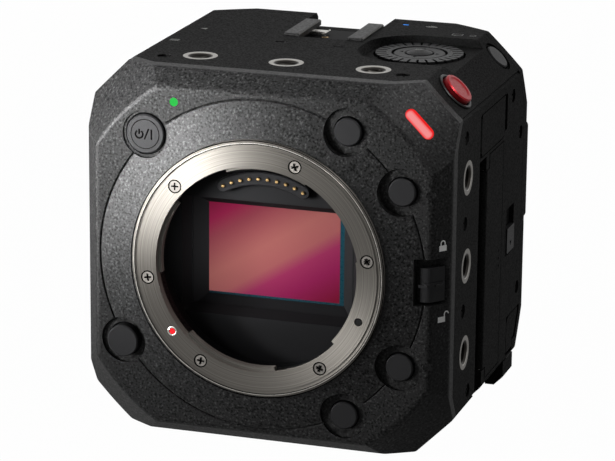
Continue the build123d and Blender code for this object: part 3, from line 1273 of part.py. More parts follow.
with BuildPart() as cursor_pad:
    with BuildSketch(facing_up(PAD_BOTTOM_Z)):
        with Locations(DIAL_AT):
            Circle(PAD_R)
            Circle(MENU_R + PRESS_GAP, mode=Mode.SUBTRACT)
    extrude(amount=PAD_T)
    chamfer(cursor_pad.faces().sort_by(Axis.Z)[-1].edges(), 0.2)
cursor_pad.part.label = "cursor_pad"
export_step(cursor_pad.part, "parts/cursor_pad.step")

with BuildPart() as menu_button:
    with BuildSketch(facing_up(PAD_TOP_Z + MENU_PROUD)):
        with Locations(DIAL_AT):
            Circle(MENU_R)
    extrude(amount=-(PAD_TOP_Z + MENU_PROUD - ROCKER_ZS[0]))
    # domed top
    with Locations((DIAL_X, FLANGE_Y + DIAL_D, PAD_TOP_Z + MENU_PROUD - MENU_DOME_R)):
        Sphere(MENU_DOME_R, mode=Mode.INTERSECT)
    with BuildSketch(facing_up(ROCKER_ZS[0])):
        with Locations(DIAL_AT):
            Circle(MENU_R + 0.6)
    extrude(amount=0.8)
menu_button.part.label = "menu_button"
export_step(menu_button.part, "parts/menu_button.step")


# Accessory shoe

CHANNEL_FLOOR_Z = BODY_H - CHANNEL_T
SHOE_FLOOR_Z = CHANNEL_FLOOR_Z + SHOE_FLOOR_T
SHOE_MID_D = (SHOE_DS[0] + SHOE_DS[1]) / 2
SHOE_L = SHOE_DS[1] - SHOE_DS[0]
SHOE_STRIP = 3.0

with BuildPart() as hot_shoe:
    with BuildSketch(facing_front(SHOE_DS[0])):
        half = SHOE_W / 2
        lip_z = BODY_H + SHOE_TOP
        for side in (1, -1):
            Polygon(
                (side * (half - SHOE_STRIP), CHANNEL_FLOOR_Z), (side * half, CHANNEL_FLOOR_Z),
                (side * half, lip_z - SHOE_EASE), (side * (half - SHOE_EASE), lip_z),
                (side * (SHOE_GAP / 2 + SHOE_EASE), lip_z), (side * SHOE_GAP / 2, lip_z - SHOE_EASE),
                (side * SHOE_GAP / 2, lip_z - SHOE_LIP_T), (side * SHOE_SLOT_W / 2, lip_z - SHOE_LIP_T),
                (side * SHOE_SLOT_W / 2, SHOE_FLOOR_Z), (side * (half - SHOE_STRIP), SHOE_FLOOR_Z),
                align=None,
            )
    extrude(amount=-SHOE_L)
    add(box_between((-SHOE_W / 2 + 1, SHOE_W / 2 - 1), (SHOE_DS[0], SHOE_DS[0] + 1.6),
                    (CHANNEL_FLOOR_Z, SHOE_FLOOR_Z)))
hot_shoe.part.label = "hot_shoe"
export_step(hot_shoe.part, "parts/hot_shoe.step")

SHOE_CONTACTS = [(0, 0), (-3.6, 4.0), (3.6, 4.0), (-3.6, -3.0), (3.6, -3.0)]
with BuildPart() as shoe_base:
    add(box_between((-SHOE_W / 2 + SHOE_STRIP + FIT, SHOE_W / 2 - SHOE_STRIP - FIT),
                    (SHOE_DS[0] + 1.6 + FIT, SHOE_DS[1] + 4.0), (CHANNEL_FLOOR_Z, SHOE_FLOOR_Z)))
    with BuildSketch(facing_up(CHANNEL_FLOOR_Z + 0.3)):
        with Locations((0, SHOE_MID_D)):
            with Locations(*SHOE_CONTACTS):
                Circle(0.9 + FIT)
    extrude(amount=2, mode=Mode.SUBTRACT)
shoe_base.part.label = "shoe_base"
export_step(shoe_base.part, "parts/shoe_base.step")

with BuildPart() as shoe_contacts:
    with BuildSketch(facing_up(CHANNEL_FLOOR_Z + 0.3)):
        with Locations((0, SHOE_MID_D)):
            with Locations(*SHOE_CONTACTS):
                Circle(0.9)
    extrude(amount=SHOE_FLOOR_T - 0.2)
shoe_contacts.part.label = "shoe_contacts"
export_step(shoe_contacts.part, "parts/shoe_contacts.step")


# Thread inserts and cover screws

with BuildPart() as thread_inserts:
    add(inserts(TOP, TOP_INSERTS))
    add(inserts(RIGHT, RIGHT_INSERTS))
    add(inserts(LEFT, LEFT_INSERTS))
    add(inserts(BASE, BASE_INSERTS, 0))
thread_inserts.part.label = "thread_inserts"
export_step(thread_inserts.part, "parts/thread_inserts.step")

with BuildPart() as shell_screws:
    add(cover_screws(TOP, TOP_SCREWS))
    add(cover_screws(RIGHT, RIGHT_SCREWS))
    add(cover_screws(LEFT, LEFT_SCREWS))
    add(cover_screws(BASE, BASE_SCREWS))
    add(cover_screws(REAR, REAR_POSTS))
shell_screws.part.label = "shell_screws"
export_step(shell_screws.part, "parts/shell_screws.step")


# Doors of the right side and what they cover

def side_door(outline, axis_d, barrel_zs):
    """Plate flush with the right face, from an outline on that face, with a hinge barrel."""
    with BuildPart() as door:
        with BuildSketch(facing_right(DOOR_FACE_X)):
            add(outline)
        extrude(amount=DOOR_T)
        with BuildSketch(facing_up(barrel_zs[0])):
            with Locations((HINGE_X, axis_d)):
                Circle(BARREL_R)
        extrude(amount=barrel_zs[1] - barrel_zs[0])
        with BuildSketch(facing_up(0)):
            with Locations((HINGE_X, axis_d)):
                Circle(HINGE_PIN_R + PIN_RUN)
        extrude(amount=BODY_H, mode=Mode.SUBTRACT)
    return door


with BuildSketch() as remote_plate:
    add(remote_outline(GAP, 2.2))
    with Locations((REMOTE_AXIS_D - 5, 75)):
        Rectangle(10, 30, mode=Mode.SUBTRACT)
remote_door = side_door(
    remote_plate.sketch, REMOTE_AXIS_D, (REMOTE_ZS[0] + GAP + 0.9, REMOTE_ZS[1] - GAP - 0.9)
)
remote_door.part.label = "remote_door"
export_step(remote_door.part, "parts/remote_door.step")

CARD_BARREL_ZS = (CARD_ZS[0] + CARD_KNUCKLE + GAP, CARD_ZS[1] - CARD_KNUCKLE - 0.7 - GAP)
with BuildSketch() as card_plate:
    d0 = CARD_AXIS_D + DOOR_EDGE
    d1 = CARD_DS[1] - GAP
    Polygon(
        (CARD_AXIS_D, CARD_BARREL_ZS[0]), (d0, CARD_BARREL_ZS[0]), (d0, CARD_ZS[0] + GAP),
        (d1, CARD_ZS[0] + GAP), (d1, CARD_ZS[1] - GAP), (d0, CARD_ZS[1] - GAP),
        (d0, CARD_BARREL_ZS[1]), (CARD_AXIS_D, CARD_BARREL_ZS[1]), align=None,
    )
card_door = side_door(card_plate.sketch, CARD_AXIS_D, CARD_BARREL_ZS)
with BuildPart() as card_dots:
    with BuildSketch(RIGHT):
        with Locations(*[(CARD_DS[1] - 2.6, SIDE_ROW_Z + z) for z in (-8.9, -6.9, -4.9)]):
            Circle(0.4)
    extrude(amount=-0.35)
card_door.part = card_door.part - card_dots.part
card_door.part.label = "card_door"
export_step(card_door.part, "parts/card_door.step")

with BuildPart() as jack_door:
    with BuildSketch(facing_right(DOOR_FACE_X)):
        with BuildLine():
            d0 = JACK_DS[0] + GAP
            jack_end_d = REAR_D - REAR_T - JACK_SWING
            top_z = JACK_ZS[1] - GAP
            Polyline(
                (d0 + 2.5, top_z), (jack_end_d, top_z), (jack_end_d, JACK_AXIS_Z + DOOR_EDGE),
                (JACK_CHEEK_D - GAP, JACK_AXIS_Z + DOOR_EDGE), (JACK_CHEEK_D - GAP, JACK_AXIS_Z),
                (d0, JACK_AXIS_Z), (d0, top_z - 2.5),
            )
            RadiusArc((d0, top_z - 2.5), (d0 + 2.5, top_z), 2.5)
        make_face()
    extrude(amount=DOOR_T)
    with BuildSketch(facing_front(JACK_DS[0] + GAP)):
        with Locations((HINGE_X, JACK_AXIS_Z)):
            Circle(BARREL_R)
    extrude(amount=JACK_DS[0] + 2 * GAP - JACK_CHEEK_D)
    with BuildSketch(facing_front(0)):
        with Locations((HINGE_X, JACK_AXIS_Z)):
            Circle(HINGE_PIN_R + PIN_RUN)
    extrude(amount=-REAR_D, mode=Mode.SUBTRACT)
    add(body_form(PLATE_D, REAR_D - REAR_T - JACK_SWING), mode=Mode.INTERSECT)
jack_door.part.label = "jack_door"
export_step(jack_door.part, "parts/jack_door.step")

with BuildPart() as hinge_pins:
    add(hinge_rods(0))
hinge_pins.part.label = "hinge_pins"
export_step(hinge_pins.part, "parts/hinge_pins.step")

with BuildPart() as card_lock:
    knob_z0 = CARD_LOCK_ZS[0] + 0.6
    add(box_between((HALF_W - 0.9, HALF_W + 0.3), (CARD_LOCK_DS[0] + GAP, CARD_LOCK_DS[1] - GAP),
                    (knob_z0, knob_z0 + 6.6)))
    add(box_between((HALF_W - WALL - 0.5, HALF_W - 0.5), (CARD_LOCK_MID_D - 0.8, CARD_LOCK_MID_D + 0.8),
                    (CARD_LOCK_ZS[0] + 2.3, CARD_LOCK_ZS[0] + 4.9)))
    add(box_between((HALF_W - WALL - 1.3, HALF_W - WALL - GAP), (CARD_LOCK_MID_D - 2.1, CARD_LOCK_MID_D + 2.1),
                    (CARD_LOCK_ZS[0] + 1.0, CARD_LOCK_ZS[0] + 6.2)))
card_lock.part.label = "card_lock"
export_step(card_lock.part, "parts/card_lock.step")

with BuildPart() as card_slots:
    z0, z1 = CARD_MOUTH_ZS[0] + GAP, CARD_MOUTH_ZS[1] - GAP
    slot_h = (z1 - z0 - 3 * SLOT_WALL) / 2
    slot_mid_d = sum(CARD_MOUTH_DS) / 2
    add(box_between((HALF_W - 32.5, HALF_W - 2.9), (CARD_MOUTH_DS[0] + GAP, CARD_MOUTH_DS[1] - GAP),
                    (z0, z1)))
    for low_z in (z0 + SLOT_WALL, z0 + 2 * SLOT_WALL + slot_h):
        add(box_between((HALF_W - 30.5, HALF_W), (slot_mid_d - SLOT_GAP / 2, slot_mid_d + SLOT_GAP / 2),
                        (low_z, low_z + slot_h)), mode=Mode.SUBTRACT)
card_slots.part.label = "card_slots"
export_step(card_slots.part, "parts/card_slots.step")

with BuildPart() as signal_jacks:
    for spots, radius, x0 in (
        (REMOTE_JACKS, JACK_R, HALF_W - 12.5),
        (CORNER_JACKS, SMALL_JACK_R, HALF_W - 9.0),
    ):
        with BuildSketch(facing_right(x0)):
            with Locations(*spots):
                Circle(radius)
        extrude(amount=DOOR_FACE_X - GAP - 0.3 - x0)
        with BuildSketch(facing_right(x0 + 2)):
            with Locations(*spots):
                Circle(radius * 0.6)
        extrude(amount=12, mode=Mode.SUBTRACT)
signal_jacks.part.label = "signal_jacks"
export_step(signal_jacks.part, "parts/signal_jacks.step")


# Rear fittings

with BuildPart() as battery_plate:
    plate_w = BAY_W - 0.6
    add(box_between((-plate_w / 2, plate_w / 2), (BAY_FLOOR_D, BAY_FLOOR_D + PLATE_T),
                    (BAY_ZS[0] + GAP, BAY_ZS[1] - GAP)))
    fillet(battery_plate.edges().filter_by(Axis.Y), 1.5)
    for side in (1, -1):
        outer = side * plate_w / 2
        inner = side * (plate_w / 2 - 1.2)
        lip = side * (plate_w / 2 - RAIL_W)
        add(box_between(sorted((inner, outer)), (BAY_FLOOR_D + 1, REAR_D - 0.4),
                        (BAY_ZS[0] + 4, BAY_ZS[1] - 6)))
        for z in (BAY_ZMID - 23.0, BAY_ZMID - 5.0, BAY_ZMID + 13.0):
            add(box_between(sorted((lip, outer)), (REAR_D - 1.6, REAR_D - 0.4), (z - 4, z + 4)))
    with BuildSketch(facing_rear(BAY_FLOOR_D + PLATE_T)):
        with Locations((0, BAY_ZS[0] + 7)):
            Rectangle(13 + 2 * FIT, 5 + 2 * FIT)
    extrude(amount=-PLATE_T, mode=Mode.SUBTRACT)
battery_plate.part.label = "battery_plate"
export_step(battery_plate.part, "parts/battery_plate.step")

with BuildPart() as battery_contacts:
    with BuildSketch(facing_rear(BAY_FLOOR_D)):
        with Locations((0, BAY_ZS[0] + 7)):
            Rectangle(13, 5)
    extrude(amount=PLATE_T)
    with BuildSketch(facing_rear(BAY_FLOOR_D + PLATE_T)):
        with Locations((0, BAY_ZS[0] + 7)):
            with GridLocations(2.6, 0, 5, 1):
                Rectangle(0.6, 4)
    extrude(amount=2.2)
battery_contacts.part.label = "battery_contacts"
export_step(battery_contacts.part, "parts/battery_contacts.step")

with BuildPart() as battery_lever:
    add(box_between((-7.9, 4.0), (REAR_D - 1.3, REAR_D + 0.5), (LEVER_ZS[0] + GAP, LEVER_ZS[1] - GAP)))
    for x in (-5, -3, -1, 1):
        add(box_between((x - 0.4, x + 0.4), (REAR_D - 0.1, REAR_D + 1), (LEVER_ZS[0], LEVER_ZS[1])),
            mode=Mode.SUBTRACT)
    add(box_between((-4.0, -1.0), (REAR_D - REAR_T - 0.5, REAR_D - 1), (8.3, 9.5)))
    add(box_between((-5.5, 0.5), (REAR_D - REAR_T - 1.3, REAR_D - REAR_T - GAP), (6.8, 11.0)))
battery_lever.part.label = "battery_lever"
export_step(battery_lever.part, "parts/battery_lever.step")

with BuildPart() as bnc_connectors:
    spots = [(-BNC_X, z) for z in BNC_ZS]
    with BuildSketch(facing_rear(BOARD_D + BOARD_T)):
        with Locations(*spots):
            Rectangle(12, 12)
    extrude(amount=BNC_FLOOR_D - TRAY_WALL - BOARD_D - BOARD_T)
    with BuildSketch(facing_rear(BNC_FLOOR_D - TRAY_WALL)):
        with Locations(*spots):
            Circle(BNC_R)
    extrude(amount=11.2)
    with BuildSketch(facing_rear(BNC_FLOOR_D)):
        with Locations(*spots):
            RegularPolygon(6.6, 6)
    extrude(amount=1.6)
    with BuildSketch(facing_rear(BNC_FLOOR_D + 6.6)):
        with Locations(*spots):
            Rectangle(11.0, 2.0)
    extrude(amount=2.0)
    with BuildSketch(facing_rear(BNC_FLOOR_D + 1)):
        with Locations(*spots):
            Circle(4.0)
            Circle(1.0, mode=Mode.SUBTRACT)
    extrude(amount=12, mode=Mode.SUBTRACT)
    with BuildSketch(facing_rear(REAR_D)):
        with Locations(*spots):
            Circle(1.1)
    extrude(amount=4, mode=Mode.SUBTRACT)
bnc_connectors.part.label = "bnc_connectors"
export_step(bnc_connectors.part, "parts/bnc_connectors.step")

with BuildPart() as terminal_door:
    add(box_between((TERMINAL_AXIS_X, HALF_W - 0.2), (REAR_D - TERMINAL_SINK + GAP, TERMINAL_AXIS_D + BARREL_R),
                    (TERMINAL_ZS[0] + GAP, TERMINAL_ZS[1] - GAP)))
    fillet(terminal_door.edges().filter_by(Axis.Y).group_by(Axis.X)[-1], 1.5)
    with BuildSketch(facing_up(TERMINAL_ZS[0] + GAP)):
        with Locations((TERMINAL_AXIS_X, TERMINAL_AXIS_D)):
            Circle(BARREL_R)
    extrude(amount=TERMINAL_ZS[1] - TERMINAL_ZS[0] - 2 * GAP)
    with BuildSketch(facing_up(0)):
        with Locations((TERMINAL_AXIS_X, TERMINAL_AXIS_D)):
            Circle(HINGE_PIN_R + PIN_RUN)
    extrude(amount=BODY_H, mode=Mode.SUBTRACT)
terminal_door.part.label = "terminal_door"
export_step(terminal_door.part, "parts/terminal_door.step")

with BuildPart() as terminal_ports:
    with BuildSketch(facing_rear(BOARD_D + BOARD_T)):
        with Locations((-VIDEO_PORT_AT[0], VIDEO_PORT_AT[1])):
            RectangleRounded(15.0, 5.6, 1.0)
        with Locations((-DATA_PORT_AT[0], DATA_PORT_AT[1])):
            RectangleRounded(9.0, 3.4, 1.5)
    extrude(amount=REAR_D - TERMINAL_SINK - 0.2 - BOARD_D - BOARD_T)
    with BuildSketch(facing_rear(BOARD_D + BOARD_T)):
        with Locations((-LAN_AT[0], LAN_AT[1])):
            Rectangle(16.0, 13.5)
    extrude(amount=REAR_D - 0.2 - BOARD_D - BOARD_T)
    with BuildSketch(facing_rear(BOARD_D + BOARD_T + 4)):
        with Locations((-VIDEO_PORT_AT[0], VIDEO_PORT_AT[1])):
            Rectangle(13.6, 4.0)
        with Locations((-DATA_PORT_AT[0], DATA_PORT_AT[1])):
            RectangleRounded(8.0, 2.4, 1.1)
        with Locations((-LAN_AT[0], LAN_AT[1])):
            Rectangle(11.8, 7.0)
            with Locations((0, 4.2)):
                Rectangle(6.0, 3.0)
    extrude(amount=20, mode=Mode.SUBTRACT)
    with BuildSketch(facing_rear(BOARD_D + BOARD_T + 3)):
        with Locations((-VIDEO_PORT_AT[0], VIDEO_PORT_AT[1])):
            Rectangle(11.0, 1.4)
        with Locations((-DATA_PORT_AT[0], DATA_PORT_AT[1])):
            Rectangle(6.4, 0.7)
    extrude(amount=10)
terminal_ports.part.label = "terminal_ports"
export_step(terminal_ports.part, "parts/terminal_ports.step")

with BuildPart() as dc_jack:
    with BuildSketch(facing_rear(REAR_D - 14)):
        with Locations((-DC_AT[0], DC_AT[1])):
            Circle(4.0)
    extrude(amount=14 - 0.2)
    with BuildSketch(facing_rear(REAR_D - 10)):
        with Locations((-DC_AT[0], DC_AT[1])):
            Circle(2.75)
            Circle(1.0, mode=Mode.SUBTRACT)
    extrude(amount=12, mode=Mode.SUBTRACT)
dc_jack.part.label = "dc_jack"
export_step(dc_jack.part, "parts/dc_jack.step")


# Cooling fan and main board

FAN_OUT_X = -HALF_W + WALL + GAP
FAN = facing_left(FAN_OUT_X + FAN_T)
FAN_SPOT = (-FAN_AT[0], FAN_AT[1])
FAN_BORE_R = FAN_SIZE / 2 - 1.2

with BuildPart() as fan_housing:
    with BuildSketch(FAN):
        with Locations(FAN_SPOT):
            outline = Rectangle(FAN_SIZE, FAN_SIZE)
        fillet(outline.vertices(), 2)
    extrude(amount=FAN_T)
    with BuildSketch(FAN):
        with Locations(FAN_SPOT):
            Circle(FAN_BORE_R)
    extrude(amount=FAN_T, mode=Mode.SUBTRACT)
    with BuildSketch(FAN):
        with Locations(FAN_SPOT):
            Circle(4.5)
            for angle in (0, 60, 120):
                Rectangle(2 * FAN_BORE_R + 1, 1.6, rotation=angle)
    extrude(amount=1.2)
    with BuildSketch(FAN.offset(1)):
        with Locations(FAN_SPOT):
            Circle(1.0)
    extrude(amount=FAN_T - 2)
fan_housing.part.label = "fan_housing"
export_step(fan_housing.part, "parts/fan_housing.step")

with BuildPart() as fan_rotor:
    with BuildSketch(FAN.offset(1.2 + GAP)):
        with Locations(FAN_SPOT):
            Circle(5.0)
            with PolarLocations(8.8, 7):
                Rectangle(11.5, 1.2, rotation=25)
            Circle(1.06, mode=Mode.SUBTRACT)
    extrude(amount=FAN_T - 1.2 - GAP - 0.8)
fan_rotor.part.label = "fan_rotor"
export_step(fan_rotor.part, "parts/fan_rotor.step")

with BuildPart() as main_board:
    add(box_between((11.5 - HALF_W, HALF_W - 10.5), (BOARD_D, BOARD_D + BOARD_T), (12.0, BODY_H - 13.0)))
    add(box_between((-9, 11), (BOARD_D - 2.2, BOARD_D), (34, 54)))
    add(box_between((-24, -14), (BOARD_D - 1.4, BOARD_D), (60, 72)))
    add(box_between((-24, -14), (BOARD_D - 1.4, BOARD_D), (20, 32)))
main_board.part.label = "main_board"
export_step(main_board.part, "parts/main_board.step")

with BuildPart() as network_lamp:
    with BuildSketch(TOP.offset(-WALL)):
        with Locations(NETWORK_LAMP_AT):
            Rectangle(1.5, 1.0)
    extrude(amount=WALL - 0.05)
network_lamp.part.label = "network_lamp"
export_step(network_lamp.part, "parts/network_lamp.step")
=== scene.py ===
# %% [markdown]
# # A box cinema camera
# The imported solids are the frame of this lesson: they have the true sizes and never move.
# The cells below give them a camera and a light, then their finishes, then the small printed
# and pressed details that a solid model leaves out.

# %% Load the solids
import bpy
from math import atan2, cos, pi, radians, sin
from mathutils import Matrix, Vector


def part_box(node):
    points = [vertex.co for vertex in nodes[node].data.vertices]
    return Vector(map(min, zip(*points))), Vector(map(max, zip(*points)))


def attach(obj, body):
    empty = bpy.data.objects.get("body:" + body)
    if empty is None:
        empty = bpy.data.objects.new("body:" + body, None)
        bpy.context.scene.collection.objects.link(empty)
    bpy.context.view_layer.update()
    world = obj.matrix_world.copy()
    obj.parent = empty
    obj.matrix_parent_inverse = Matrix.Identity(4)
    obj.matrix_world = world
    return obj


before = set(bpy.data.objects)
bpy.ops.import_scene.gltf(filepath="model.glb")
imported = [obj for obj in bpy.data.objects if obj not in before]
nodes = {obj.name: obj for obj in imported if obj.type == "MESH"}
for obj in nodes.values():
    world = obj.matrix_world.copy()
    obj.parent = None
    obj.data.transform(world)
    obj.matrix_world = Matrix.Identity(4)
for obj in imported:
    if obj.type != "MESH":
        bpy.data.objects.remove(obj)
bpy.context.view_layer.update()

# %% [markdown]
# ## Lengths
# The drawing of this camera is in millimetres and measures depths from the lens flange,
# so one small helper turns such a point into Blender's metres.

# %% Millimetres to metres
MM = 0.001
FLANGE_Y = -22.2
LENS_Z = 46.3


def at(x, depth, z):
    """Point in metres from X, depth behind the lens flange and height, in millimetres."""
    return Vector((x, FLANGE_Y + depth, z)) * MM


# %% [markdown]
# ## Camera
# A product shot like this one is taken from far away with a long lens, so the box keeps its
# parallel edges. The camera stands in front, a little to the right and above.

# %% Long lens in front of the right upper corner
AZIMUTH = radians(17.718)
ELEVATION = radians(15.923)
ROLL = radians(0.554)
LENS_MM = 184.07
FILM_MM = 36
CAMERA_SPOT = at(233.0, -688.8, 263.9)
towards_camera = Vector((sin(AZIMUTH) * cos(ELEVATION), -cos(AZIMUTH) * cos(ELEVATION), sin(ELEVATION)))
level_right = Vector((cos(AZIMUTH), sin(AZIMUTH), 0))
level_up = towards_camera.cross(level_right)
camera_right = level_right * cos(ROLL) + level_up * sin(ROLL)
camera_up = level_up * cos(ROLL) - level_right * sin(ROLL)
bpy.ops.object.camera_add(location=(0, 0, 0))
camera = bpy.context.active_object
camera.name = "long_lens_view"
camera.data.lens = LENS_MM
camera.data.sensor_width = FILM_MM
camera.data.clip_start = 0.05
turn = Matrix((camera_right, camera_up, towards_camera)).transposed().to_4x4()
camera.matrix_world = Matrix.Translation(CAMERA_SPOT) @ turn
bpy.context.scene.camera = camera
print("camera distance", round((camera.location - at(0, 40, 46)).length, 3))

# %% [markdown]
# ## Floor and studio light
# A black object is seen by what it mirrors, so the room matters as much as the lamps. The ground
# and the room are white for the camera and in mirrors, and dim for the light they give. The nodes
# of every shader come from the small functions below, so that a material reads as a short list.

# %% Colours and shader nodes
def linear(code):
    """Linear colour of an sRGB hex code."""
    channels = [int(code[i:i + 2], 16) / 255 for i in (1, 3, 5)]
    return tuple(c / 12.92 if c <= 0.04045 else ((c + 0.055) / 1.055) ** 2.4 for c in channels) + (1,)


def add_node(tree, kind, settings=None, **links):
    """Add a shader node, set its properties, then feed its inputs with values or sockets."""
    node = tree.nodes.new(kind)
    for key, value in (settings or {}).items():
        setattr(node, key, value)
    for key, value in links.items():
        name = key.replace("_", " ")
        socket = node.inputs[int(key[1:])] if key[0] == "i" and key[1:].isdigit() else node.inputs[name]
        if isinstance(value, bpy.types.NodeSocket):
            tree.links.new(value, socket)
        else:
            socket.default_value = value
    return node


def seen_directly(tree):
    """1 for rays from the camera and for those mirrored in metal or seen through glass."""
    path = add_node(tree, "ShaderNodeLightPath")
    total = path.outputs["Is Camera Ray"]
    for name in ("Is Glossy Ray", "Is Transmission Ray"):
        total = add_node(tree, "ShaderNodeMath", {"operation": "MAXIMUM"},
                         i0=total, i1=path.outputs[name]).outputs[0]
    return total


def deselect_all():
    """Operators act on all that is selected, so each step starts from nothing."""
    bpy.ops.object.select_all(action="DESELECT")


# %% Pale floor that still takes the shadow
FLOOR_SIZE = 6
FLOOR_GAP = 0.0003
SHARE_IN_MIRRORS = 0.25
SHARE_FOR_CAMERA = 0.985
deselect_all()
bpy.ops.mesh.primitive_plane_add(size=FLOOR_SIZE, location=(0, 0, -FLOOR_GAP))
floor = bpy.context.active_object
floor.name = "floor"
floor_paper = bpy.data.materials.new("studio_paper")
floor_paper.use_nodes = True
tree = floor_paper.node_tree
tree.nodes.clear()
paper = add_node(tree, "ShaderNodeBsdfDiffuse", Color=linear("#f4f4f4"))
white = add_node(tree, "ShaderNodeEmission", Color=(1, 1, 1, 1), Strength=1.0)
mirrored = add_node(tree, "ShaderNodeMath", {"operation": "MULTIPLY"},
                    i0=seen_directly(tree), i1=SHARE_IN_MIRRORS)
direct = add_node(tree, "ShaderNodeMath", {"operation": "MULTIPLY"},
                  i0=add_node(tree, "ShaderNodeLightPath").outputs["Is Camera Ray"], i1=SHARE_FOR_CAMERA)
share = add_node(tree, "ShaderNodeMath", {"operation": "MAXIMUM"},
                 i0=mirrored.outputs[0], i1=direct.outputs[0])
mixed = add_node(tree, "ShaderNodeMixShader", Fac=share.outputs[0], i1=paper.outputs[0], i2=white.outputs[0])
add_node(tree, "ShaderNodeOutputMaterial", Surface=mixed.outputs[0])
floor.data.materials.append(floor_paper)
print("floor of", FLOOR_SIZE, "m")

# %% White room for camera and mirror rays, dimmer for the light
ROOM_LIGHT = 0.08
world = bpy.data.worlds.new("studio_room")
bpy.context.scene.world = world
world.use_nodes = True
tree = world.node_tree
tree.nodes.clear()
dim = add_node(tree, "ShaderNodeBackground", Color=(1, 1, 1, 1), Strength=ROOM_LIGHT)
bright = add_node(tree, "ShaderNodeBackground", Color=(1, 1, 1, 1), Strength=1.0)
mixed = add_node(tree, "ShaderNodeMixShader", Fac=seen_directly(tree),
                 i1=dim.outputs[0], i2=bright.outputs[0])
add_node(tree, "ShaderNodeOutputWorld", Surface=mixed.outputs[0])
bpy.context.scene.view_settings.view_transform = "Standard"

# %% [markdown]
# ## Lamps
# Seven square lamps do the work. Three small ones close to the upper left corner give the paint its
# bright field, which fades to black at the lower right. One far away, low on the left, shows in the
# turned mount ring as two opposite bright sectors. A tiny one lights the right side of the ring, one
# above the right corner picks out the record button, and a low one behind serves the rear views.

# %% Soft lamps
def soft_lamp(name, place, size, power, aim=(0, 0, 0.046), spread=180):
    """Square lamp that faces the camera body."""
    bpy.ops.object.light_add(type="AREA", location=place)
    lamp = bpy.context.active_object
    lamp.name = name
    lamp.data.size = size
    lamp.data.energy = power
    lamp.data.spread = radians(spread)
    lamp.visible_camera = False
    lamp.rotation_euler = (Vector(aim) - Vector(place)).to_track_quat("-Z", "Y").to_euler()


soft_lamp("key_lamp", (-0.105, -0.10, 0.105), 0.05, 0.056, (-0.03, -0.022, 0.084), 44)
soft_lamp("front_lamp", (-0.085, -0.13, 0.085), 0.04, 0.024, (-0.028, -0.022, 0.082), 44)
soft_lamp("left_lamp", (-0.14, -0.09, 0.055), 0.05, 0.034, (-0.045, -0.022, 0.05), 42)
soft_lamp("far_lamp", (-0.65, -0.50, 0.05), 0.14, 7.5)
soft_lamp("corner_lamp", (0.075, -0.022, 0.145), 0.03, 0.0045, (0.037, -0.014, 0.088), 50)
soft_lamp("mount_lamp", (0.10, -0.22, 0.03), 0.01, 0.005, (0, -0.022, 0.0463), 9)
soft_lamp("rear_lamp", (-0.35, 0.75, 0.025), 0.1, 5)

# %% [markdown]
# ## Finishes
# Each finish is named for the real one. The covers are die-cast magnesium with a baked,
# textured black paint: coarse speckles on the front frame, a finer grain elsewhere. A real surface
# is never quite even, so most finishes get a grain of its real size, which on many also varies the roughness.

# %% One function for a surface with grain
def new_finish(name, colour, roughness, metallic=0.0, specular=0.5):
    """Principled material; returns the material, its tree and its shader."""
    material = bpy.data.materials.new(name)
    material.use_nodes = True
    tree = material.node_tree
    shader = tree.nodes["Principled BSDF"]
    shader.inputs["Base Color"].default_value = linear(colour)
    shader.inputs["Roughness"].default_value = roughness
    shader.inputs["Metallic"].default_value = metallic
    shader.inputs["Specular IOR Level"].default_value = specular
    return material, tree, shader


def ramp_node(tree, factor, *stops):
    """Colour ramp with stops of (place, sRGB code)."""
    ramp = add_node(tree, "ShaderNodeValToRGB", Fac=factor)
    elements = ramp.color_ramp.elements
    while len(elements) < len(stops):
        elements.new(0.5)
    for element, (place, code) in zip(elements, stops):
        element.position = place
        element.color = linear(code)
    return ramp.outputs[0]


def noise_node(tree, size_mm):
    """Noise with spots of about the given size."""
    place = add_node(tree, "ShaderNodeTexCoord").outputs["Object"]
    return add_node(tree, "ShaderNodeTexNoise", Vector=place, Scale=1000 / (2.2 * size_mm),
                    Detail=2.0).outputs[0]


def grain(tree, shader, size_mm, height_mm, rough=None, colours=None):
    """Grain of a real size: it lifts the surface, and can vary its roughness and its colour."""
    noise = noise_node(tree, size_mm)
    bump = add_node(tree, "ShaderNodeBump", Strength=1.0, Distance=height_mm * MM, Height=noise)
    tree.links.new(bump.outputs[0], shader.inputs["Normal"])
    if rough:
        spread = add_node(tree, "ShaderNodeMapRange", Value=noise)
        spread.inputs["From Min"].default_value = 0.35
        spread.inputs["From Max"].default_value = 0.65
        spread.inputs["To Min"].default_value = rough[0]
        spread.inputs["To Max"].default_value = rough[1]
        tree.links.new(spread.outputs[0], shader.inputs["Roughness"])
    if colours:
        tree.links.new(ramp_node(tree, noise, *colours), shader.inputs["Base Color"])


# %% Paint and plastic
# Textured paint, coarse: baked droplets of about a quarter of a millimetre with black pits between
# them. The droplets catch the light, and their tops are also painted lighter: a painted glint.
coarse_paint, tree, shader = new_finish("textured_paint_coarse", "#161616", 0.45, specular=0.09)
grain(tree, shader, 0.26, 0.008, (0.48, 0.42),
      ((0.40, "#000000"), (0.425, "#181818"), (0.60, "#1c1c1c"), (0.66, "#333333")))

# Textured paint, fine: the same paint, baked finer, on top, sides, base and rear.
fine_paint, tree, shader = new_finish("textured_paint_fine", "#1c1c1c", 0.6, specular=0.02)
grain(tree, shader, 0.2, 0.01, (0.7, 0.55), ((0.36, "#0d0d0d"), (0.6, "#1e1e1e")))

# Moulded ABS, spark-eroded tool: smooth dark grey with a soft sheen.
button_abs, tree, shader = new_finish("moulded_abs_dark", "#171718", 0.42, specular=0.14)
grain(tree, shader, 0.15, 0.004, (0.5, 0.38))

# Black polycarbonate inside the mount, dull so that no light strays.
dull_plastic, tree, shader = new_finish("dull_black_polycarbonate", "#0d0d0e", 0.6, specular=0.05)
grain(tree, shader, 0.2, 0.01)

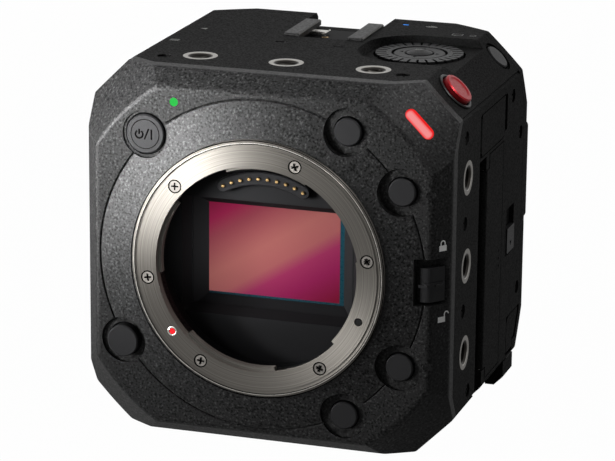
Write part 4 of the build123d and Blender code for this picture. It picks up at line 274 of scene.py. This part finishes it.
# %% Steel
# Turned stainless steel: concentric tool marks about the lens axis, so a lamp shows in it as two
# opposite bright sectors.
turned_steel, tree, shader = new_finish("turned_stainless_steel", "#5e5b57", 0.58, metallic=1.0)
shader.inputs["Anisotropic"].default_value = 0.8
shader.inputs["Anisotropic Rotation"].default_value = 0.25
tangent = add_node(tree, "ShaderNodeTangent", {"direction_type": "RADIAL", "axis": "Y"})
tree.links.new(tangent.outputs[0], shader.inputs["Tangent"])
place = add_node(tree, "ShaderNodeTexCoord").outputs["Object"]
around = add_node(tree, "ShaderNodeVectorMath", {"operation": "SUBTRACT"}, i0=place, i1=at(0, 0, LENS_Z))
flat = add_node(tree, "ShaderNodeVectorMath", {"operation": "MULTIPLY"}, i0=around.outputs[0], i1=(1, 0, 1))
radius = add_node(tree, "ShaderNodeVectorMath", {"operation": "LENGTH"}, i0=flat.outputs[0])
marks = add_node(tree, "ShaderNodeTexNoise", {"noise_dimensions": "1D"}, W=radius.outputs["Value"],
                 Scale=1000 / 0.3, Detail=1.0)
bump = add_node(tree, "ShaderNodeBump", Strength=1.0, Distance=0.003 * MM, Height=marks.outputs[0])
tree.links.new(bump.outputs[0], shader.inputs["Normal"])
tree.links.new(ramp_node(tree, marks.outputs[0], (0.35, "#595652"), (0.65, "#686560")),
               shader.inputs["Base Color"])

# Stamped and machined steel for the small pieces.
plain_steel, tree, shader = new_finish("machined_steel", "#b9b6b0", 0.32, metallic=1.0)
grain(tree, shader, 0.4, 0.004, (0.38, 0.26))

# Threaded inserts: turned steel, bright where it meets the skin and darker inside the bore: painted shade.
insert_steel, tree, shader = new_finish("turned_insert_steel", "#8d8a85", 0.36, metallic=1.0)
grain(tree, shader, 0.3, 0.004, (0.44, 0.3))
body_low, body_high = [Vector(corner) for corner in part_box("thread_inserts")]
place = add_node(tree, "ShaderNodeSeparateXYZ", Vector=add_node(tree, "ShaderNodeTexCoord").outputs["Object"])
from_side = add_node(tree, "ShaderNodeMath", {"operation": "ABSOLUTE"}, i0=place.outputs["X"])
gaps = [add_node(tree, "ShaderNodeMath", {"operation": "SUBTRACT"}, i0=body_high.x, i1=from_side.outputs[0]),
        add_node(tree, "ShaderNodeMath", {"operation": "SUBTRACT"}, i0=body_high.z, i1=place.outputs["Z"]),
        add_node(tree, "ShaderNodeMath", {"operation": "SUBTRACT"}, i0=place.outputs["Z"], i1=body_low.z)]
nearest = gaps[0].outputs[0]
for gap in gaps[1:]:
    nearest = add_node(tree, "ShaderNodeMath", {"operation": "MINIMUM"},
                       i0=nearest, i1=gap.outputs[0]).outputs[0]
bore_shade_depth_mm = add_node(tree, "ShaderNodeMath", {"operation": "DIVIDE"}, i0=nearest, i1=MM)
# Painted shade: the colour darkens from 0.05 to 0.2 mm below the skin.
tree.links.new(ramp_node(tree, bore_shade_depth_mm.outputs[0], (0.05, "#8d8a85"), (0.2, "#2a2826")),
               shader.inputs["Base Color"])

# Small screws in the mount: the same steel as the ring, without its tool marks.
screw_steel, tree, shader = new_finish("blasted_steel", "#6e6b67", 0.5, metallic=1.0)
grain(tree, shader, 0.3, 0.004, (0.55, 0.42))

# Shoe rails: steel with a black oxide coat; its bevels that face upwards are lighter.
shoe_steel, tree, shader = new_finish("coated_steel_rails", "#454442", 0.5, specular=0.12)
grain(tree, shader, 0.3, 0.004, (0.5, 0.36))
facing = add_node(tree, "ShaderNodeSeparateXYZ",
                  Vector=add_node(tree, "ShaderNodeTexCoord").outputs["Normal"])
edge = ramp_node(tree, facing.outputs["Z"],
                 (0.2, "#161616"), (0.45, "#8a8884"), (0.85, "#8a8884"), (0.95, "#1c1c1c"))
tree.links.new(edge, shader.inputs["Base Color"])

# Threads of the inserts: steel given a dark colour as painted shade in the bore; the light shows dark flanks
# with bright crests.
thread_steel, tree, shader = new_finish("thread_steel_painted_shade", "#4c4a47", 0.4, metallic=1.0)
grain(tree, shader, 0.3, 0.004, (0.5, 0.32))

# Housing of the lens contacts: smooth dark grey plastic, a little paler than the light box: painted light on
# the block.
contact_plastic, tree, shader = new_finish("contact_housing_plastic", "#131314", 0.5, specular=0.05)
grain(tree, shader, 0.2, 0.006, (0.6, 0.45))

# Blackened steel: small screws and pins, dark with a soft metal sheen.
dark_steel, tree, shader = new_finish("blackened_steel", "#2a2a2a", 0.4, metallic=1.0)
grain(tree, shader, 0.3, 0.004)

# %% Plated and cast pieces, boards and enamel
# Gold on brass, as on every contact that must not corrode.
gold_plate, tree, shader = new_finish("gold_plated_brass", "#e3bf86", 0.25, metallic=1.0)
grain(tree, shader, 0.3, 0.003)

# Nickel on brass: the sockets' shells, paler and a little yellow.
nickel, tree, shader = new_finish("nickel_plated_brass", "#b5b2a8", 0.22, metallic=1.0)
grain(tree, shader, 0.4, 0.003)

# Die-cast magnesium, unpainted inside: dull grey metal with a cast skin.
cast_alloy, tree, shader = new_finish("cast_magnesium", "#85878a", 0.45, metallic=1.0)
grain(tree, shader, 0.6, 0.01)

# Circuit boards: glass laminate under a green solder mask.
board_laminate, tree, shader = new_finish("solder_mask_laminate", "#123a22", 0.35)
grain(tree, shader, 0.5, 0.004)

# The record button is anodised red, so its metal shows through, and the mounting dot is enamel.
red_enamel, tree, shader = new_finish("red_anodised_aluminium", "#8c0f18", 0.36, metallic=0.7)
grain(tree, shader, 0.25, 0.012, (0.45, 0.3))
red_paint, tree, shader = new_finish("red_enamel_dot", "#c8141c", 0.3, specular=0.3)
grain(tree, shader, 0.25, 0.003, (0.35, 0.25))

# %% [markdown]
# ## Lamps of the camera
# A lit lens is dark plastic with a light behind it. It keeps a dark base colour, and its emission
# carries the colour. The tally lamp is pale along the line of its diodes and deep red at its rim.

# %% Lit plastic lenses
def lit_lens(name, glow):
    """Dark lens whose colour comes from the light inside."""
    material, tree, shader = new_finish(name, "#050505", 0.3, specular=0.02)
    shader.inputs["Emission Color"].default_value = linear(glow)
    shader.inputs["Emission Strength"].default_value = 0.9
    grain(tree, shader, 0.3, 0.003, (0.35, 0.25))
    return material, tree, shader


green_lens, tree, shader = lit_lens("lit_green_lens", "#24cf4c")
blue_lens, tree, shader = lit_lens("lit_blue_lens", "#1e90ff")

# %% Tally lamp, by distance from the line of its diodes
DIAGONAL = (0.7071, 0, -0.7071)
LINE_END = 0.0016
GLOW_WIDTH = 0.0015
GLOW_SHIFT = Vector((0.0005, 0, 0.0005))
tally_lens, tree, shader = lit_lens("lit_red_polycarbonate", "#ff2a2a")
low, high = [Vector(corner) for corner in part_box("tally_lamp")]
reach = ((high.x - low.x) * 0.5 - LINE_END) * 1.414
place = add_node(tree, "ShaderNodeTexCoord").outputs["Object"]
middle = add_node(tree, "ShaderNodeVectorMath", {"operation": "SUBTRACT"}, i0=place,
                  i1=(low + high) / 2 + GLOW_SHIFT)
along = add_node(tree, "ShaderNodeVectorMath", {"operation": "DOT_PRODUCT"}, i0=middle.outputs[0],
                 i1=DIAGONAL)
kept = add_node(tree, "ShaderNodeClamp", Value=along.outputs["Value"], Min=-reach, Max=reach)
on_line = add_node(tree, "ShaderNodeVectorMath", {"operation": "SCALE"}, i0=DIAGONAL, Scale=kept.outputs[0])
aside = add_node(tree, "ShaderNodeVectorMath", {"operation": "SUBTRACT"}, i0=middle.outputs[0],
                 i1=on_line.outputs[0])
flat = add_node(tree, "ShaderNodeVectorMath", {"operation": "MULTIPLY"}, i0=aside.outputs[0], i1=(1, 0, 1))
distance = add_node(tree, "ShaderNodeVectorMath", {"operation": "LENGTH"}, i0=flat.outputs[0])
share = add_node(tree, "ShaderNodeMath", {"operation": "DIVIDE"}, i0=distance.outputs["Value"],
                 i1=GLOW_WIDTH)
glow = ramp_node(tree, share.outputs[0], (0.25, "#ff9494"), (0.45, "#ff6c6c"), (0.6, "#f21818"))
tree.links.new(glow, shader.inputs["Emission Color"])

# %% [markdown]
# ## Sensor filter
# The dielectric filter over the sensor mirrors a different colour in every direction, magenta at
# the corners and brown across the middle. The colours are a painted reflection laid along one slanted line,
# and they also glow: a painted glow.

# %% Coated filter glass
FILTER_REACH = 0.020
TINT_START = at(-11.6, 0, LENS_Z - 7.5)
TINT_DIRECTION = (0.53, 0, -0.848)
filter_glass, tree, shader = new_finish("filter_glass_painted_glow", "#8a2f4a", 0.12, specular=0.08)
place = add_node(tree, "ShaderNodeTexCoord").outputs["Object"]
start = add_node(tree, "ShaderNodeVectorMath", {"operation": "SUBTRACT"}, i0=place, i1=TINT_START)
across = add_node(tree, "ShaderNodeVectorMath", {"operation": "DOT_PRODUCT"}, i0=start.outputs[0],
                  i1=TINT_DIRECTION)
span = add_node(tree, "ShaderNodeMapRange", Value=across.outputs["Value"])
span.inputs["From Min"].default_value = -FILTER_REACH
span.inputs["From Max"].default_value = FILTER_REACH
painted_reflection_tint = ramp_node(tree, span.outputs[0],
                 (0.02, "#7d1638"), (0.12, "#8e2046"), (0.22, "#8b3f4a"), (0.42, "#a3605c"),
                 (0.55, "#a05a5a"), (0.63, "#963058"), (0.75, "#8c2050"), (0.93, "#74122e"))
shade = add_node(tree, "ShaderNodeMix", {"data_type": "RGBA", "blend_type": "MULTIPLY"}, i0=1.0, i6=painted_reflection_tint,
                 i7=(0.1, 0.1, 0.1, 1))
tree.links.new(shade.outputs[2], shader.inputs["Base Color"])
# Painted glow: the filter is no lamp, yet it emits its painted colours.
tree.links.new(painted_reflection_tint, shader.inputs["Emission Color"])
shader.inputs["Emission Strength"].default_value = 0.62

# %% [markdown]
# ## Which solid gets which finish
# The names of the solids say what they are, so a short list is enough.

# %% Dress the solids
DRESS = {
    coarse_paint: ["front_frame"],
    fine_paint: ["top_cover", "right_cover", "left_cover", "base_cover", "rear_cover",
                 "remote_door", "card_door", "jack_door", "terminal_door"],
    button_abs: ["power_button", "function_button_1", "function_button_2", "function_button_3",
                 "function_button_4", "lens_release", "lock_switch", "side_button", "left_button_1",
                 "left_button_2", "control_dial", "cursor_rocker", "cursor_pad", "menu_button",
                 "card_lock", "battery_lever"],
    contact_plastic: ["contact_block"],
    dull_plastic: ["light_box", "sensor_frame", "shoe_base", "battery_plate",
                   "card_slots", "fan_housing", "fan_rotor", "signal_jacks", "dc_jack"],
    turned_steel: ["mount_ring"],
    plain_steel: ["hinge_pins"],
    insert_steel: ["thread_inserts"],
    screw_steel: ["mount_screws"],
    shoe_steel: ["hot_shoe"],
    dark_steel: ["shell_screws", "lens_lock_pin", "record_collar"],
    gold_plate: ["contact_pins", "battery_contacts", "shoe_contacts"],
    nickel: ["bnc_connectors", "terminal_ports"],
    cast_alloy: ["chassis", "heat_sink"],
    board_laminate: ["sensor_board", "main_board"],
    red_enamel: ["record_button"],
    red_paint: ["index_dot"],
    tally_lens: ["tally_lamp"],
    green_lens: ["power_lamp"],
    blue_lens: ["network_lamp"],
    filter_glass: ["sensor_glass", "image_sensor"],
}
for finish, names in DRESS.items():
    for name in names:
        solid = nodes[name]
        solid.data.materials.clear()
        solid.data.materials.append(finish)
bare = [name for name in nodes if not any(name in names for names in DRESS.values())]
print("solids without a finish", bare)

# %% [markdown]
# ## Marks and fittings that the solids leave out
# Printed marks are closed plates 0.02 mm thick. Each is drawn flat in millimetres, then laid on
# the surface that carries it: a ray finds the point and the direction the surface faces there.
# What repeats is drawn once and copied, and every copy has a mesh of its own.

# %% Find a place on a solid
RAY_START = 0.02


def seat(node, point, direction, right, lift=0.005):
    """Matrix that lays a flat drawing in millimetres on a solid, with its X towards the right."""
    start = point - Vector(direction) * RAY_START
    _, place, facing, _ = nodes[node].ray_cast(start, Vector(direction))
    across = (Vector(right) - facing * facing.dot(Vector(right))).normalized()
    turn = Matrix((across, facing.cross(across), facing)).transposed().to_4x4()
    return Matrix.Translation(place + facing * lift * MM) @ turn @ Matrix.Scale(MM, 4)


# %% Strokes of a flat drawing
def arc(radius, start, end, x=0.0, y=0.0, steps=24):
    """Points on an arc, angles in degrees."""
    angles = [radians(start + (end - start) * i / steps) for i in range(steps + 1)]
    return [(x + radius * cos(a), y + radius * sin(a)) for a in angles]


def band(radius, width, start, end, x=0.0, y=0.0):
    """Outline of a stroke that follows an arc."""
    return arc(radius + width / 2, start, end, x, y) + arc(radius - width / 2, end, start, x, y)


def bar(x0, y0, x1, y1, width):
    """Outline of a straight stroke."""
    along = Vector((x1 - x0, y1 - y0)).normalized() * width / 2
    return [(x0 - along.y, y0 + along.x), (x0 + along.y, y0 - along.x),
            (x1 + along.y, y1 - along.x), (x1 - along.y, y1 + along.x)]


# %% Lay a drawing on its place
def settle(piece, place, finish, body):
    """Apply a piece's place to its mesh, give it its finish and let it ride on a body."""
    deselect_all()
    piece.matrix_world = place
    piece.select_set(True)
    bpy.context.view_layer.objects.active = piece
    bpy.ops.object.transform_apply(location=True, rotation=True, scale=True)
    bpy.ops.object.mode_set(mode="EDIT")
    bpy.ops.mesh.select_all(action="SELECT")
    bpy.ops.mesh.normals_make_consistent(inside=False)
    bpy.ops.object.mode_set(mode="OBJECT")
    piece.data.materials.clear()
    piece.data.materials.append(finish)
    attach(piece, body)


# %% Plates from a drawing
INK = 0.02


def drawn(name, outlines, height=INK):
    """Flat closed mesh from outlines in millimetres; an outline inside another is a hole."""
    drawing = bpy.data.curves.new(name, "CURVE")
    drawing.dimensions = "2D"
    drawing.fill_mode = "BOTH"
    drawing.extrude = height / 2
    for outline in outlines:
        spline = drawing.splines.new("POLY")
        spline.points.add(len(outline) - 1)
        for point, (x, y) in zip(spline.points, outline):
            point.co = (x, y, 0, 1)
        spline.use_cyclic_u = True
    piece = bpy.data.objects.new(name, drawing)
    bpy.context.collection.objects.link(piece)
    deselect_all()
    piece.select_set(True)
    bpy.context.view_layer.objects.active = piece
    bpy.ops.object.convert(target="MESH")
    bpy.ops.object.mode_set(mode="EDIT")
    bpy.ops.mesh.select_all(action="SELECT")
    bpy.ops.mesh.remove_doubles(threshold=0.001)
    bpy.ops.object.mode_set(mode="OBJECT")
    return piece


def plate(name, outlines, place, finish, body="body", height=INK):
    """One plate on its place."""
    settle(drawn(name, outlines, height), place, finish, body)


def copy_to(place, pattern, number, finish, body="body"):
    """One numbered copy of a pattern, with its own mesh."""
    twin = pattern.copy()
    twin.data = pattern.data.copy()
    twin.name = f"{pattern.name}_{number}"
    bpy.context.collection.objects.link(twin)
    settle(twin, place, finish, body)


def copies(pattern, places, finish, body="body"):
    """A copy of a pattern at each place; the pattern itself goes."""
    for i, place in enumerate(places):
        copy_to(place, pattern, i + 1, finish, body)
    print(pattern.name, "copies", len(places))
    bpy.data.objects.remove(pattern)


# %% [markdown]
# ## Inks
# The marks are pad printed: a thin matt film in white, grey or black. The black film also serves as painted
# shade in grooves, gaps and holes.

# %% Inks
white_ink, tree, shader = new_finish("white_printing_ink", "#f4f4f2", 0.5, specular=0.2)
grain(tree, shader, 0.1, 0.002, (0.6, 0.5))
grey_ink, tree, shader = new_finish("grey_printing_ink", "#8a8a88", 0.5, specular=0.2)
grain(tree, shader, 0.1, 0.002, (0.6, 0.5))
# Black ink, also used as painted shade in grooves, gaps and holes.
black_ink_and_shade, tree, shader = new_finish("black_ink_and_painted_shade", "#030303", 0.6, specular=0.0)
grain(tree, shader, 0.1, 0.002, (0.6, 0.5))

# %% [markdown]
# ## Standby mark
# The power button carries the usual standby sign and a shallow groove near its rim, both engraved.
# They are thin black plates of painted shade, because a groove of this width would show as a dark line and no
# more.

# %% Standby mark on the power button
TO_BACK = (0, 1, 0)
RIGHT = (1, 0, 0)
power_face = seat("power_button", at(-29.6, 0, 77.0), TO_BACK, RIGHT)
# Painted shade: the engraved sign and the groove are black plates.
plate("power_mark", [band(0.95, 0.4, 122, 418, -1.5, -0.15), bar(-1.5, -0.1, -1.5, 1.2, 0.4),
                     bar(-0.15, -1.35, 0.95, 1.35, 0.36), bar(1.65, -1.25, 1.65, 1.25, 0.4)],
      power_face, black_ink_and_shade, "power")
plate("power_groove", [arc(3.75, 0, 360), arc(3.55, 0, 360)], power_face, black_ink_and_shade, "power")

# %% [markdown]
# ## Mount screws
# Six cross-head screws hold the ring. Seen from the front, each head stands in a dark gap, and its
# cross recess is black; black plates give both as painted shade. The screws stopped at different angles when
# they were driven home.

# %% Painted shade in the gaps and cross recesses
SCREW_RING_R = 28.3
PROUD = 0.012
SCREW_TURN = 20
BESIDE_CROSS = Vector((0.8, 0, 0.8)) * MM
arms = [[(r * cos(radians(a)), r * sin(radians(a)))
         for r, a in ((0.95, q - 10), (0.95, q + 10), (0.3, q + 45))] for q in (0, 90, 180, 270)]
gap = drawn("screw_gap_shade", [arc(1.72, 0, 360), arc(1.42, 0, 360)])
cross = drawn("screw_cross_shade", [[point for arm in arms for point in arm]])
for i, angle in enumerate((137.5, 70.2, 10.0, -54.8, -120.2, -170.9)):
    middle = at(SCREW_RING_R * cos(radians(angle)), 0, LENS_Z + SCREW_RING_R * sin(radians(angle)))
    face = seat("mount_screws", middle + BESIDE_CROSS, TO_BACK, RIGHT)
    face.translation = middle - Vector((0, PROUD * MM, 0))
    copy_to(face, gap, i + 1, black_ink_and_shade)
    copy_to(face @ Matrix.Rotation(radians(SCREW_TURN * i), 4, "Z"), cross, i + 1, black_ink_and_shade)
bpy.data.objects.remove(gap)
bpy.data.objects.remove(cross)

# %% [markdown]
# ## Step of the mount ring
# The ring is turned with a narrow step near its outer edge, and a dark seam parts it from the
# frame. Three closed bands paint them: painted shade in the seam at the edge, a painted highlight on the
# step, and painted shade in the groove inside.

# %% Bands of painted shade and highlight round the ring
ring_face = face.copy()
ring_face.translation = at(0, -PROUD, LENS_Z)
for name, radius, width, finish, slot in (("ring_seam_shade", 32.22, 0.24, black_ink_and_shade, "box_black"),
                                          ("ring_step_highlight", 31.55, 0.16, plain_steel, "mount_steel"),
                                          ("ring_groove_shade", 31.35, 0.16, black_ink_and_shade, "box_black")):
    plate(name, [arc(radius + width / 2, 0, 360, steps=120), arc(radius - width / 2, 0, 360, steps=120)],
          ring_face, finish)
print("ring bands lie at y", round(ring_face.translation.y / MM, 3), "mm")

# %% [markdown]
# ## Edge of the sensor
# Beside its active area the sensor shows the dark teal coating of its package, at the right and
# below. Two thin plates on the cover glass stand for it.

# %% Edge of the sensor package
package_blue, tree, shader = new_finish("sensor_package_coating", "#06222a", 0.3, specular=0.1)
grain(tree, shader, 0.3, 0.003, (0.35, 0.25))
glass_face = seat("sensor_glass", at(5.0, 10.0, LENS_Z), TO_BACK, RIGHT)
glass_face.translation.x = 0
glass_face.translation.z = LENS_Z * MM
SENSOR_X = 35.6 / 2
SENSOR_Y = 23.8 / 2
EDGE = 1.4
inner = SENSOR_X - EDGE
above = -SENSOR_Y + EDGE / 2
plate("sensor_edge_right",
      [[(inner, -SENSOR_Y), (SENSOR_X, -SENSOR_Y), (SENSOR_X, SENSOR_Y), (inner, SENSOR_Y)]],
      glass_face, package_blue)
plate("sensor_edge_low", [[(-SENSOR_X, -SENSOR_Y), (inner, -SENSOR_Y), (inner, above), (-SENSOR_X, above)]],
      glass_face, package_blue)
print("sensor edge", EDGE, "mm wide")

# %% [markdown]
# ## Sockets of the lens contacts
# Each sprung pin slides in a hole a little wider than itself, and a black disc gives the hole's painted
# shade. The pins share one mesh, so their
# places are found from its vertices: they part into groups by their angle about the lens axis.

# %% Painted shade of the sockets round the lens contacts
pins = [v.co for v in nodes["contact_pins"].data.vertices]
pin_angles = sorted(atan2(v.z - LENS_Z * MM, v.x) for v in pins)
starts = [0] + [i + 1 for i in range(len(pin_angles) - 1) if pin_angles[i + 1] - pin_angles[i] > 0.02]
pin_radius = sum(Vector((v.x, v.z - LENS_Z * MM)).length for v in pins) / len(pins)
between_pins = Vector((0.8 * MM, 0, LENS_Z * MM + pin_radius))
block_face = seat("contact_block", between_pins, TO_BACK, RIGHT)
socket_places = []
for first, last in zip(starts, starts[1:] + [len(pin_angles)]):
    angle = (pin_angles[first] + pin_angles[last - 1]) / 2
    face = block_face.copy()
    face.translation = Vector((pin_radius * cos(angle), block_face.translation.y,
                               LENS_Z * MM + pin_radius * sin(angle)))
    socket_places.append(face)
copies(drawn("pin_socket_shade", [arc(0.72, 0, 360)]), socket_places, black_ink_and_shade)
print("radius of the contacts, mm", round(pin_radius / MM, 2))

# %% [markdown]
# ## Padlocks
# A closed padlock above the lock slide and an open one below say which way it locks. Each is a
# block with a bent shackle, printed on the bevel beside the slide.

# %% Padlocks above and below the lock slide
BEVEL_INWARD = (-0.802, 0.597, 0)
LOCK_BODY = [(-1.1, -0.7), (1.1, -0.7), (1.1, 0.7), (-1.1, 0.7)]
for name, z, shift in (("closed_padlock", 54.6, 0.0), ("open_padlock", 36.8, 1.45)):
    bevel = seat("front_frame", at(44.9, 6.2, z), BEVEL_INWARD, RIGHT)
    shackle = band(0.6, 0.3, 0, 180, shift, 1.25)
    legs = [bar(shift - 0.6, 0.6, shift - 0.6, 1.27, 0.3)]
    if not shift:
        legs.append(bar(shift + 0.6, 0.6, shift + 0.6, 1.27, 0.3))
    plate(name + "_body", [LOCK_BODY], bevel, white_ink)
    plate(name + "_shackle", [shackle], bevel, white_ink)
    for i, leg in enumerate(legs):
        plate(f"{name}_leg_{i + 1}", [leg], bevel, white_ink)

# %% [markdown]
# ## Marks on the dial
# Four small arrows point outwards on the pad, and three bars on the menu button stand for a list.

# %% Marks on the pad and the menu button
DOWN = (0, 0, -1)
ARROW_R = 0.0047
BAR_STEP = 0.55
pad_low, pad_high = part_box("cursor_pad")
pad_x = (pad_low[0] + pad_high[0]) / 2
pad_y = (pad_low[1] + pad_high[1]) / 2
arrow_places = []
for i in range(4):
    angle = radians(90 * i)
    spot = Vector((pad_x + ARROW_R * cos(angle), pad_y + ARROW_R * sin(angle), pad_high[2]))
    arrow_places.append(seat("cursor_pad", spot, DOWN, (cos(angle), sin(angle), 0)))
copies(drawn("pad_arrow", [[(-0.45, -0.6), (0.45, 0.0), (-0.45, 0.6)]]), arrow_places, black_ink_and_shade,
       "pad")
face = seat("menu_button", Vector((pad_x, pad_y, pad_high[2])), DOWN, (-1, 0, 0), 0.02)
copies(drawn("menu_bar", [bar(-1.1, 0, 1.1, 0, 0.2)]),
       [face @ Matrix.Translation((0, BAR_STEP * i, 0)) for i in (-1, 0, 1)], grey_ink, "menu")

# %% [markdown]
# ## Marks on the top
# The labels of the top are read from behind the camera, so their drawings are turned round. Plain
# signs stand in the place of each label: bars, a triangle, arcs, a frame and a ring.

# %% Small marks on the top
TOP_RIGHT = (-1, 0, 0)


def top_mark(name, x, depth, outlines, finish=grey_ink):
    """Plates on the top cover, one for each stroke."""
    for i, outline in enumerate(outlines):
        plate(f"{name}_{i + 1}", [outline], seat("top_cover", at(x, depth, 93), DOWN, TOP_RIGHT),
              finish)


top_mark("list_mark", -34.3, 36.8, [bar(-1.2, y, 1.2, y, 0.25) for y in (-0.7, 0.0, 0.7)])
top_mark("play_mark", -32.0, 51.9, [[(-0.9, -0.8), (0.9, 0.0), (-0.9, 0.8)]])
top_mark("wave_mark", 22.3, 74.5, [band(r, 0.25, 45, 135, 0, -0.9) for r in (0.7, 1.4, 2.1)], white_ink)
top_mark("frame_mark", 31.0, 67.1, [bar(-1.3, -0.8, 1.3, -0.8, 0.22), bar(-1.3, 0.8, 1.3, 0.8, 0.22),
                                    bar(-1.3, -0.9, -1.3, 0.9, 0.22), bar(1.3, -0.9, 1.3, 0.9, 0.22)])
top_mark("ring_mark", 35.0, 67.1, [band(0.8, 0.22, 20, 340)])

# %% [markdown]
# ## Arrow of the card door
# The slide that locks the card door has a triangle that points the way to push it.

# %% Arrow on the card door's lock
card_lock_low, card_lock_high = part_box("card_lock")
knob = Vector((card_lock_high[0], (card_lock_low[1] + card_lock_high[1]) / 2, card_lock_low[2] + 0.0022))
plate("card_lock_arrow", [[(-0.8, 0.5), (0.0, -0.7), (0.8, 0.5)]],
      seat("card_lock", knob, (-1, 0, 0), (0, 1, 0)), black_ink_and_shade, "card_slide")

# %% [markdown]
# ## Turned and threaded details
# A profile spun about an axis gives a ring. The same tool with a climb gives a screw thread, whose
# two open ends are closed after it.

# %% Spin a profile
def spun(name, profile, turns=1, climb=0.0, steps=48):
    """Closed profile of (radius, height) in millimetres, spun about the local Z axis."""
    mesh = bpy.data.meshes.new(name)
    mesh.from_pydata([(r, 0, h) for r, h in profile], [], [list(range(len(profile)))])
    piece = bpy.data.objects.new(name, mesh)
    bpy.context.collection.objects.link(piece)
    deselect_all()
    piece.select_set(True)
    bpy.context.view_layer.objects.active = piece
    if not climb:
        bpy.ops.object.mode_set(mode="EDIT")
        bpy.ops.mesh.select_all(action="SELECT")
        bpy.ops.mesh.delete(type="ONLY_FACE")
        bpy.ops.object.mode_set(mode="OBJECT")
    screw = piece.modifiers.new("spin", "SCREW")
    screw.angle = 2 * pi
    screw.iterations = turns
    screw.screw_offset = climb
    screw.steps = steps
    screw.render_steps = steps
    screw.use_merge_vertices = not climb
    bpy.ops.object.modifier_apply(modifier="spin")
    bpy.ops.object.mode_set(mode="EDIT")
    bpy.ops.mesh.select_all(action="SELECT")
    bpy.ops.mesh.remove_doubles(threshold=0.0005)
    bpy.ops.mesh.select_all(action="DESELECT")
    bpy.ops.mesh.select_non_manifold()
    bpy.ops.mesh.fill_holes(sides=0)
    bpy.ops.object.mode_set(mode="OBJECT")
    bpy.ops.object.shade_smooth_by_angle(angle=radians(35))
    return piece


# %% [markdown]
# ## Bezel of the mounting dot
# The red dot that lines up a lens sits in a small turned rim, a ring with rounded shoulders.

# %% Bezel round the red mounting dot
DOT_R = 27.9
BESIDE_DOT = 1.1
dot_angle = radians(-140.7)
dot_face = seat("mount_ring", at(DOT_R * cos(dot_angle) - BESIDE_DOT, 0, LENS_Z + DOT_R * sin(dot_angle)),
                TO_BACK, RIGHT)
dot_face.translation = at(DOT_R * cos(dot_angle), 0.02, LENS_Z + DOT_R * sin(dot_angle))
bezel = spun("dot_bezel", [(0.85, -0.05), (1.2, -0.05), (1.2, 0.04), (1.1, 0.1), (0.95, 0.1), (0.85, 0.04)])
settle(bezel, dot_face, plain_steel, "body")

# %% [markdown]
# ## Threads of the inserts
# The eleven steel inserts take a quarter-inch tripod screw with 20 turns to the inch, a pitch of
# 1.27 mm. One flank profile climbs three turns, and a copy goes into each insert.

# %% Threads of a tripod screw in the eleven inserts
THREAD_PITCH = 1.27
INSERT_D = 22.2
SPACING = 22.2
SIDE_X = 46.5
TOP_Z = 93.0
inserts = [(x, TOP_Z, (0, 0, -1)) for x in (-SPACING, 0.0, SPACING)]
inserts += [(x, 0.0, (0, 0, 1)) for x in (-SPACING, 0.0, SPACING)]
inserts += [(SIDE_X, z, (-1, 0, 0)) for z in (23.7, 45.9, 68.1)]
inserts += [(-SIDE_X, z, (1, 0, 0)) for z in (34.8, 57.0)]
thread_places = []
for x, z, inward in inserts:
    turn = Vector(inward).to_track_quat("Z", "Y").to_matrix().to_4x4()
    thread_places.append(Matrix.Translation(at(x, INSERT_D, z)) @ turn @ Matrix.Scale(MM, 4))
flank = [(2.64, 0.62), (2.32, 1.24), (2.64, 1.86)]
thread = spun("tripod_thread", flank, turns=3, climb=THREAD_PITCH, steps=28)
copies(thread, thread_places, thread_steel)

# %% [markdown]
# ## Pads by the outer buttons
# Two small raised pads beside the outer function buttons lead the finger to them. Each is a
# straight bar with round ends that stands a little proud of the frame.

# %% Small raised pads beside the two outer function buttons
for name, z in (("upper_pad", 68.1), ("lower_pad", 25.3)):
    place = seat("front_frame", at(42.4, 0, z), TO_BACK, RIGHT, -0.15)
    pill = arc(0.75, 90, 270, -0.5) + arc(0.75, -90, 90, 0.5)
    plate(name, [pill], place, coarse_paint, height=0.8)
    print(name, "at height", z, "mm")

# %% [markdown]
# ## Ridge of the lock slide
# A ridge across the slide gives the finger a grip, on the slide's front and on its bevel.

# %% Ridge across the lock slide
lock_low, lock_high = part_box("lock_switch")
ridge_z = (lock_low[2] + lock_high[2]) / 2 - 0.0002
ridges = ((lock_low[0] / MM + 1.3, TO_BACK), (lock_high[0] / MM - 1.6, BEVEL_INWARD))
for i, (x, turn) in enumerate(ridges):
    place = seat("lock_switch", Vector((x * MM, at(0, 6, 0).y, ridge_z)), turn, RIGHT, -0.1)
    plate(f"lock_ridge_{i + 1}", [[(-1.1, -0.3), (1.1, -0.3), (1.1, 0.3), (-1.1, 0.3)]], place,
          button_abs, "lock", height=0.7)

# %% [markdown]
# ## Spring of the accessory shoe
# A bent leaf of spring steel under the left rail presses a foot up against the rails. Its side
# view is drawn, turned upright and given the leaf's width.

# %% Spring leaf under the left rail of the accessory shoe
LEAF_WIDTH = 4.4
shoe_low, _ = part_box("hot_shoe")
leaf = [(-9.6, 0.0), (-4.2, 0.0), (-3.8, 0.25), (-3.6, 0.1), (-4.1, -0.2), (-9.6, -0.2)]
upright = Matrix.Rotation(radians(90), 4, "X") @ Matrix.Scale(MM, 4)
place = Matrix.Translation(at(0, 70.0, shoe_low[2] / MM + 1.6)) @ upright
plate("shoe_spring", [leaf], place @ Matrix.Translation((0, 0, LEAF_WIDTH / 2)), plain_steel,
      height=LEAF_WIDTH)
